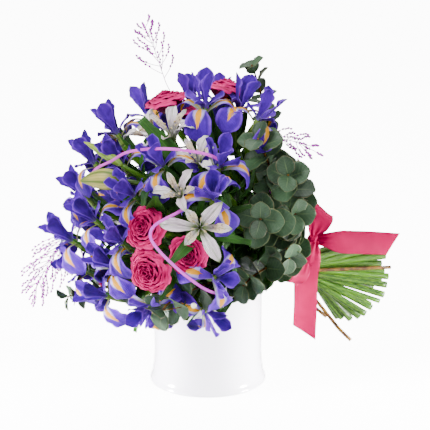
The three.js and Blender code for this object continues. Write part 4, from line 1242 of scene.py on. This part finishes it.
# %% Satin
satin, w = finish("satin", Roughness=0.42, Anisotropic=0.6, Specular_IOR_Level=0.3,
                  Specular_Tint=rgb("FF2080"))
aside, along = w.petal_place()
warp = w.math("SINE", w.times(aside, 260.0))
weft = w.math("SINE", w.times(along, 2600.0))
weave = w.math("MULTIPLY_ADD", w.times(warp, weft), 0.5, 0.5)
colour = w.over(rgb("840034"), "A80046", w.group(mottle, Scale=26.0), 0.5)
hem = w.step(w.math("ABSOLUTE", aside), 0.93, 0.97)
paint(w, w.over(colour, "6A002C", hem, 0.5), weave, 0.1, 300.0)
print("satin finish:", satin.name)

# %% Loops and tails
KNOT = vec(162, 36, 209.5)
RIBBON_WIDTH, SMALL_LOOP_WIDTH = 36, 22
# each row: place from the knot, direction of the width, and the share of the width that is spread
STANDING_LOOP = [
    (0, -3, 2, 0.5, 0.2, 0.2, 0.28), (5, -10, 20, 0.8, 0, -0.4, 0.8), (12, -10, 37, 0.72, 0, -0.7, 1),
    (16, -3, 45, 0.72, 0, -0.7, 1), (15, 9, 43, 0.72, 0, -0.7, 1), (6, 12, 22, 0.8, 0, -0.4, 0.8),
    (0, 5.5, 2, 0.5, 0.2, 0.2, 0.28),
]
LONG_TAIL = [
    (2, -2, 0, 0, 0.5, 0.9, 0.3), (20, -10, 1, 0.1, 0.1, 1, 0.65), (45, -8, -2, 0.05, 0, 1, 1),
    (85, -2, -5, 0.05, 0, 1, 1), (124, 5, -9, 0.3, 0, 1, 1),
]
SMALL_LOOP = [
    (-4, -1, -3, 0.7, 0.3, 0.4, 0.4), (-14, -26, -24, 0.6, 0.6, -0.4, 1),
    (-31, -34, -50, 0.5, 0.5, -0.3, 1), (-34, -42, -57, 0.6, 0.5, -0.2, 1),
    (-20, -42, -44, 0.9, 0.2, -0.2, 1), (-4, -8, -7, 0.9, 0, -0.2, 0.4),
]
HANGING_TAIL = [
    (3, -5, -1, 0.8, 0, -0.4, 0.3), (-5, -26, -19, 0.95, 0, -0.2, 0.85), (-12, -28, -52, 1, 0, 0, 1),
    (-12, -24, -98, 1, 0, 0, 1), (-13, -20, -144, 1, 0, 0, 1),
]
ribbon = Sheaf()


def ribbon_strip(rows, width, samples, ripple, slant=0):
    """place + aside s w(t)/2, with pleats p cos(9 s) where it is gathered and a long soft ripple. A
    slant pushes the two edges of its end apart. Gives the strip's length."""
    table = through(rows, samples)
    line, gathered = KNOT + table[:, :3], np.clip(table[:, 6], 0.2, 1)[:, None]
    tangent = unit(np.gradient(line, axis=0))
    aside = unit(table[:, 3:6] - (table[:, 3:6] * tangent).sum(1, keepdims=True) * tangent)
    normal = np.cross(tangent, aside)
    s, t = np.linspace(-1, 1, 25)[None, :], column(0, 1, samples)
    off = (1 - gathered) * 2.4 * np.cos(9 * s) + ripple * np.sin(5 * t + 1.5 * s)
    reach = s * width / 2 * gathered
    push = slant * s * np.clip((t - 0.75) / 0.25, 0, 1)
    ribbon.grid(line[:, None] + aside[:, None] * reach[..., None] + normal[:, None] * off[..., None]
                + tangent[:, None] * push[..., None])
    return distances(line)[-1]


ribbon_length = ribbon_strip(STANDING_LOOP, RIBBON_WIDTH, 60, 0.5)
ribbon_length += ribbon_strip(LONG_TAIL, RIBBON_WIDTH, 60, 1.0, 8)
ribbon_length += ribbon_strip(SMALL_LOOP, SMALL_LOOP_WIDTH, 50, 0.4)
ribbon_length += ribbon_strip(HANGING_TAIL, RIBBON_WIDTH, 60, 1.2, 12)
print("loops and tails:", round(float(ribbon_length)), "mm")

# %% Band and knot
BAND_RADIUS, BAND_HALF_WIDTH = 33, 8
KNOT_START, KNOT_LENGTH, KNOT_SIDES = -11, 21, 32
IN_THE_KNOT = 40  # millimetres of ribbon rolled up in the knot

# the band: one turn round the stems, its edges gathered into a few folds
angle, s = column(0, 2 * np.pi, 73), np.linspace(-1, 1, 17)[None, :]
folds = 0.7 * np.cos(5 * np.pi * s + 0.6 * np.sin(2 * angle)) + 0.3 * np.sin(3 * angle)
ring = ACROSS_UP * np.cos(angle)[..., None] + ACROSS_BACK * np.sin(angle)[..., None]
ribbon.grid(TIE + ring * (BAND_RADIUS + folds)[..., None] + AXIS * (BAND_HALF_WIDTH * s)[..., None])
ribbon_length += 2 * np.pi * BAND_RADIUS + IN_THE_KNOT

# the knot: a plump, pleated roll over the middle of the bow
t = np.linspace(0, 1, 15)
core = KNOT + unit(vec(0.35, 0.1, 0.93)) * (KNOT_START + KNOT_LENGTH * t)[:, None]
rings = tube(core, 5.2 + 3.6 * np.sin(np.pi * t)**0.8, KNOT_SIDES)
pleat = 1 + 0.07 * np.cos(np.linspace(0, 14 * np.pi, KNOT_SIDES, endpoint=False))[:, None]
ribbon.grid(core[:, None] + (rings - core[:, None]) * pleat, closed=True, caps=True)
bow = ribbon.make("satin_ribbon", [satin], "ribbon", thickness=0.4)
print("ribbon", RIBBON_WIDTH, "x", round(float(ribbon_length)), "mm")

# %% [markdown]
# ## Floor, light and camera
#
# The photograph has a plain white ground and soft light from all round. A pale floor, a bright world
# and three large area lights give that, and two small ones light the sides of the vase. The world is a
# little darker in front, behind the camera, so that the round vase reflects a soft grey band in its
# middle, as it does in a studio.

# %% Floor and world
SKY_LIGHT, FLOOR_GLOW = 0.85, 11.0  # the white ground is brighter for the camera than as a light
FLOOR_REACH, FLOOR_LEVEL = 40.0, -0.0005
floor_white, w = finish("floor_white", Roughness=0.9, Specular_IOR_Level=0.1)
paint(w, w.mix(w.noise(w.where(), 3.0), rgb("FAFAFA"), rgb("FDFDFD")))
seen = w.put("ShaderNodeLightPath").outputs["Is Camera Ray"]
w.feed(w.shader.inputs["Emission Color"], rgb("FFFFFF"))
w.feed(w.shader.inputs["Emission Strength"], w.times(seen, FLOOR_GLOW))
floor_mesh = bpy.data.meshes.new("floor")
corners = [(FLOOR_REACH * x, FLOOR_REACH * y, FLOOR_LEVEL) for x, y in ((-1, -1), (1, -1), (1, 1), (-1, 1))]
floor_mesh.from_pydata(corners, [], [(0, 1, 2, 3)])
floor_mesh.materials.append(floor_white)
add_object("floor", floor_mesh)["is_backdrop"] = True

world = bpy.data.worlds.new("studio")
world.use_nodes = True
bpy.context.scene.world = world
w = Wiring(world.node_tree)
facing = w.put("ShaderNodeSeparateXYZ")
w.feed(facing.inputs[0], w.put("ShaderNodeTexCoord").outputs["Generated"])
front = w.step(facing.outputs[1], -0.55, -0.97)
sky = world.node_tree.nodes["Background"]
w.feed(sky.inputs["Color"], w.mix(front, (1, 1, 1, 1), (0.5, 0.48, 0.58, 1)))
seen = w.put("ShaderNodeLightPath").outputs["Is Camera Ray"]
w.feed(sky.inputs["Strength"], w.math("MULTIPLY_ADD", seen, FLOOR_GLOW, SKY_LIGHT))
print("floor of", 2 * FLOOR_REACH, "m and a sky of strength", SKY_LIGHT)


# %% Lights and camera
def area_light(name, place, target, size, power, spread=180):
    """A round lamp that looks from its place to the target; the spread is in degrees."""
    data = bpy.data.lights.new(name, "AREA")
    data.shape, data.size, data.energy = "DISK", size, power
    data.spread = np.radians(spread)
    lamp = add_object(name, data)
    lamp.location = vec(*place)
    away = unit(vec(*place) - vec(*target))
    right = unit(np.cross(UP, away))
    matrix = np.stack([right, np.cross(away, right), away], 1)
    lamp.rotation_euler = Matrix(matrix.tolist()).to_euler()


area_light("key", (-1.3, -1.5, 1.9), (0, 0, 0.25), 1.0, 95)
area_light("fill", (1.7, -1.0, 1.2), (0, 0, 0.2), 1.4, 28)
area_light("top", (0.1, 0.5, 2.4), (0, 0, 0.2), 1.6, 45)
area_light("vase_left", (-1.1, -0.3, 0.12), (0, 0, 0.05), 0.3, 3.2, 22)
area_light("vase_right", (1.1, -0.3, 0.12), (0, 0, 0.05), 0.3, 3.2, 22)

ELEVATION, DISTANCE, LENS = np.radians(13.5), 1.8, 100.5
TARGET = vec(0.01085, 0, 0.2566)
camera = add_object("camera", bpy.data.cameras.new("camera"))
camera.data.lens, camera.data.sensor_width = LENS, 36
camera.location = TARGET + DISTANCE * vec(0, -np.cos(ELEVATION), np.sin(ELEVATION))
camera.rotation_euler = (np.pi / 2 - ELEVATION, 0, 0)
bpy.context.scene.camera = camera
print("camera", DISTANCE, "m from", TARGET)

# %% [markdown] ## Last look  The dressed bouquet has to keep close to the plain model's box.

# %% Sizes and finish
dressed_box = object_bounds()
boxes = {"cad": [list(map(float, corner)) for corner in plain_box],
         "visual": [list(map(float, corner)) for corner in dressed_box]}
for name, (low, high) in boxes.items():
    print(name, [round(1000 * v, 1) for v in low], [round(1000 * v, 1) for v in high])
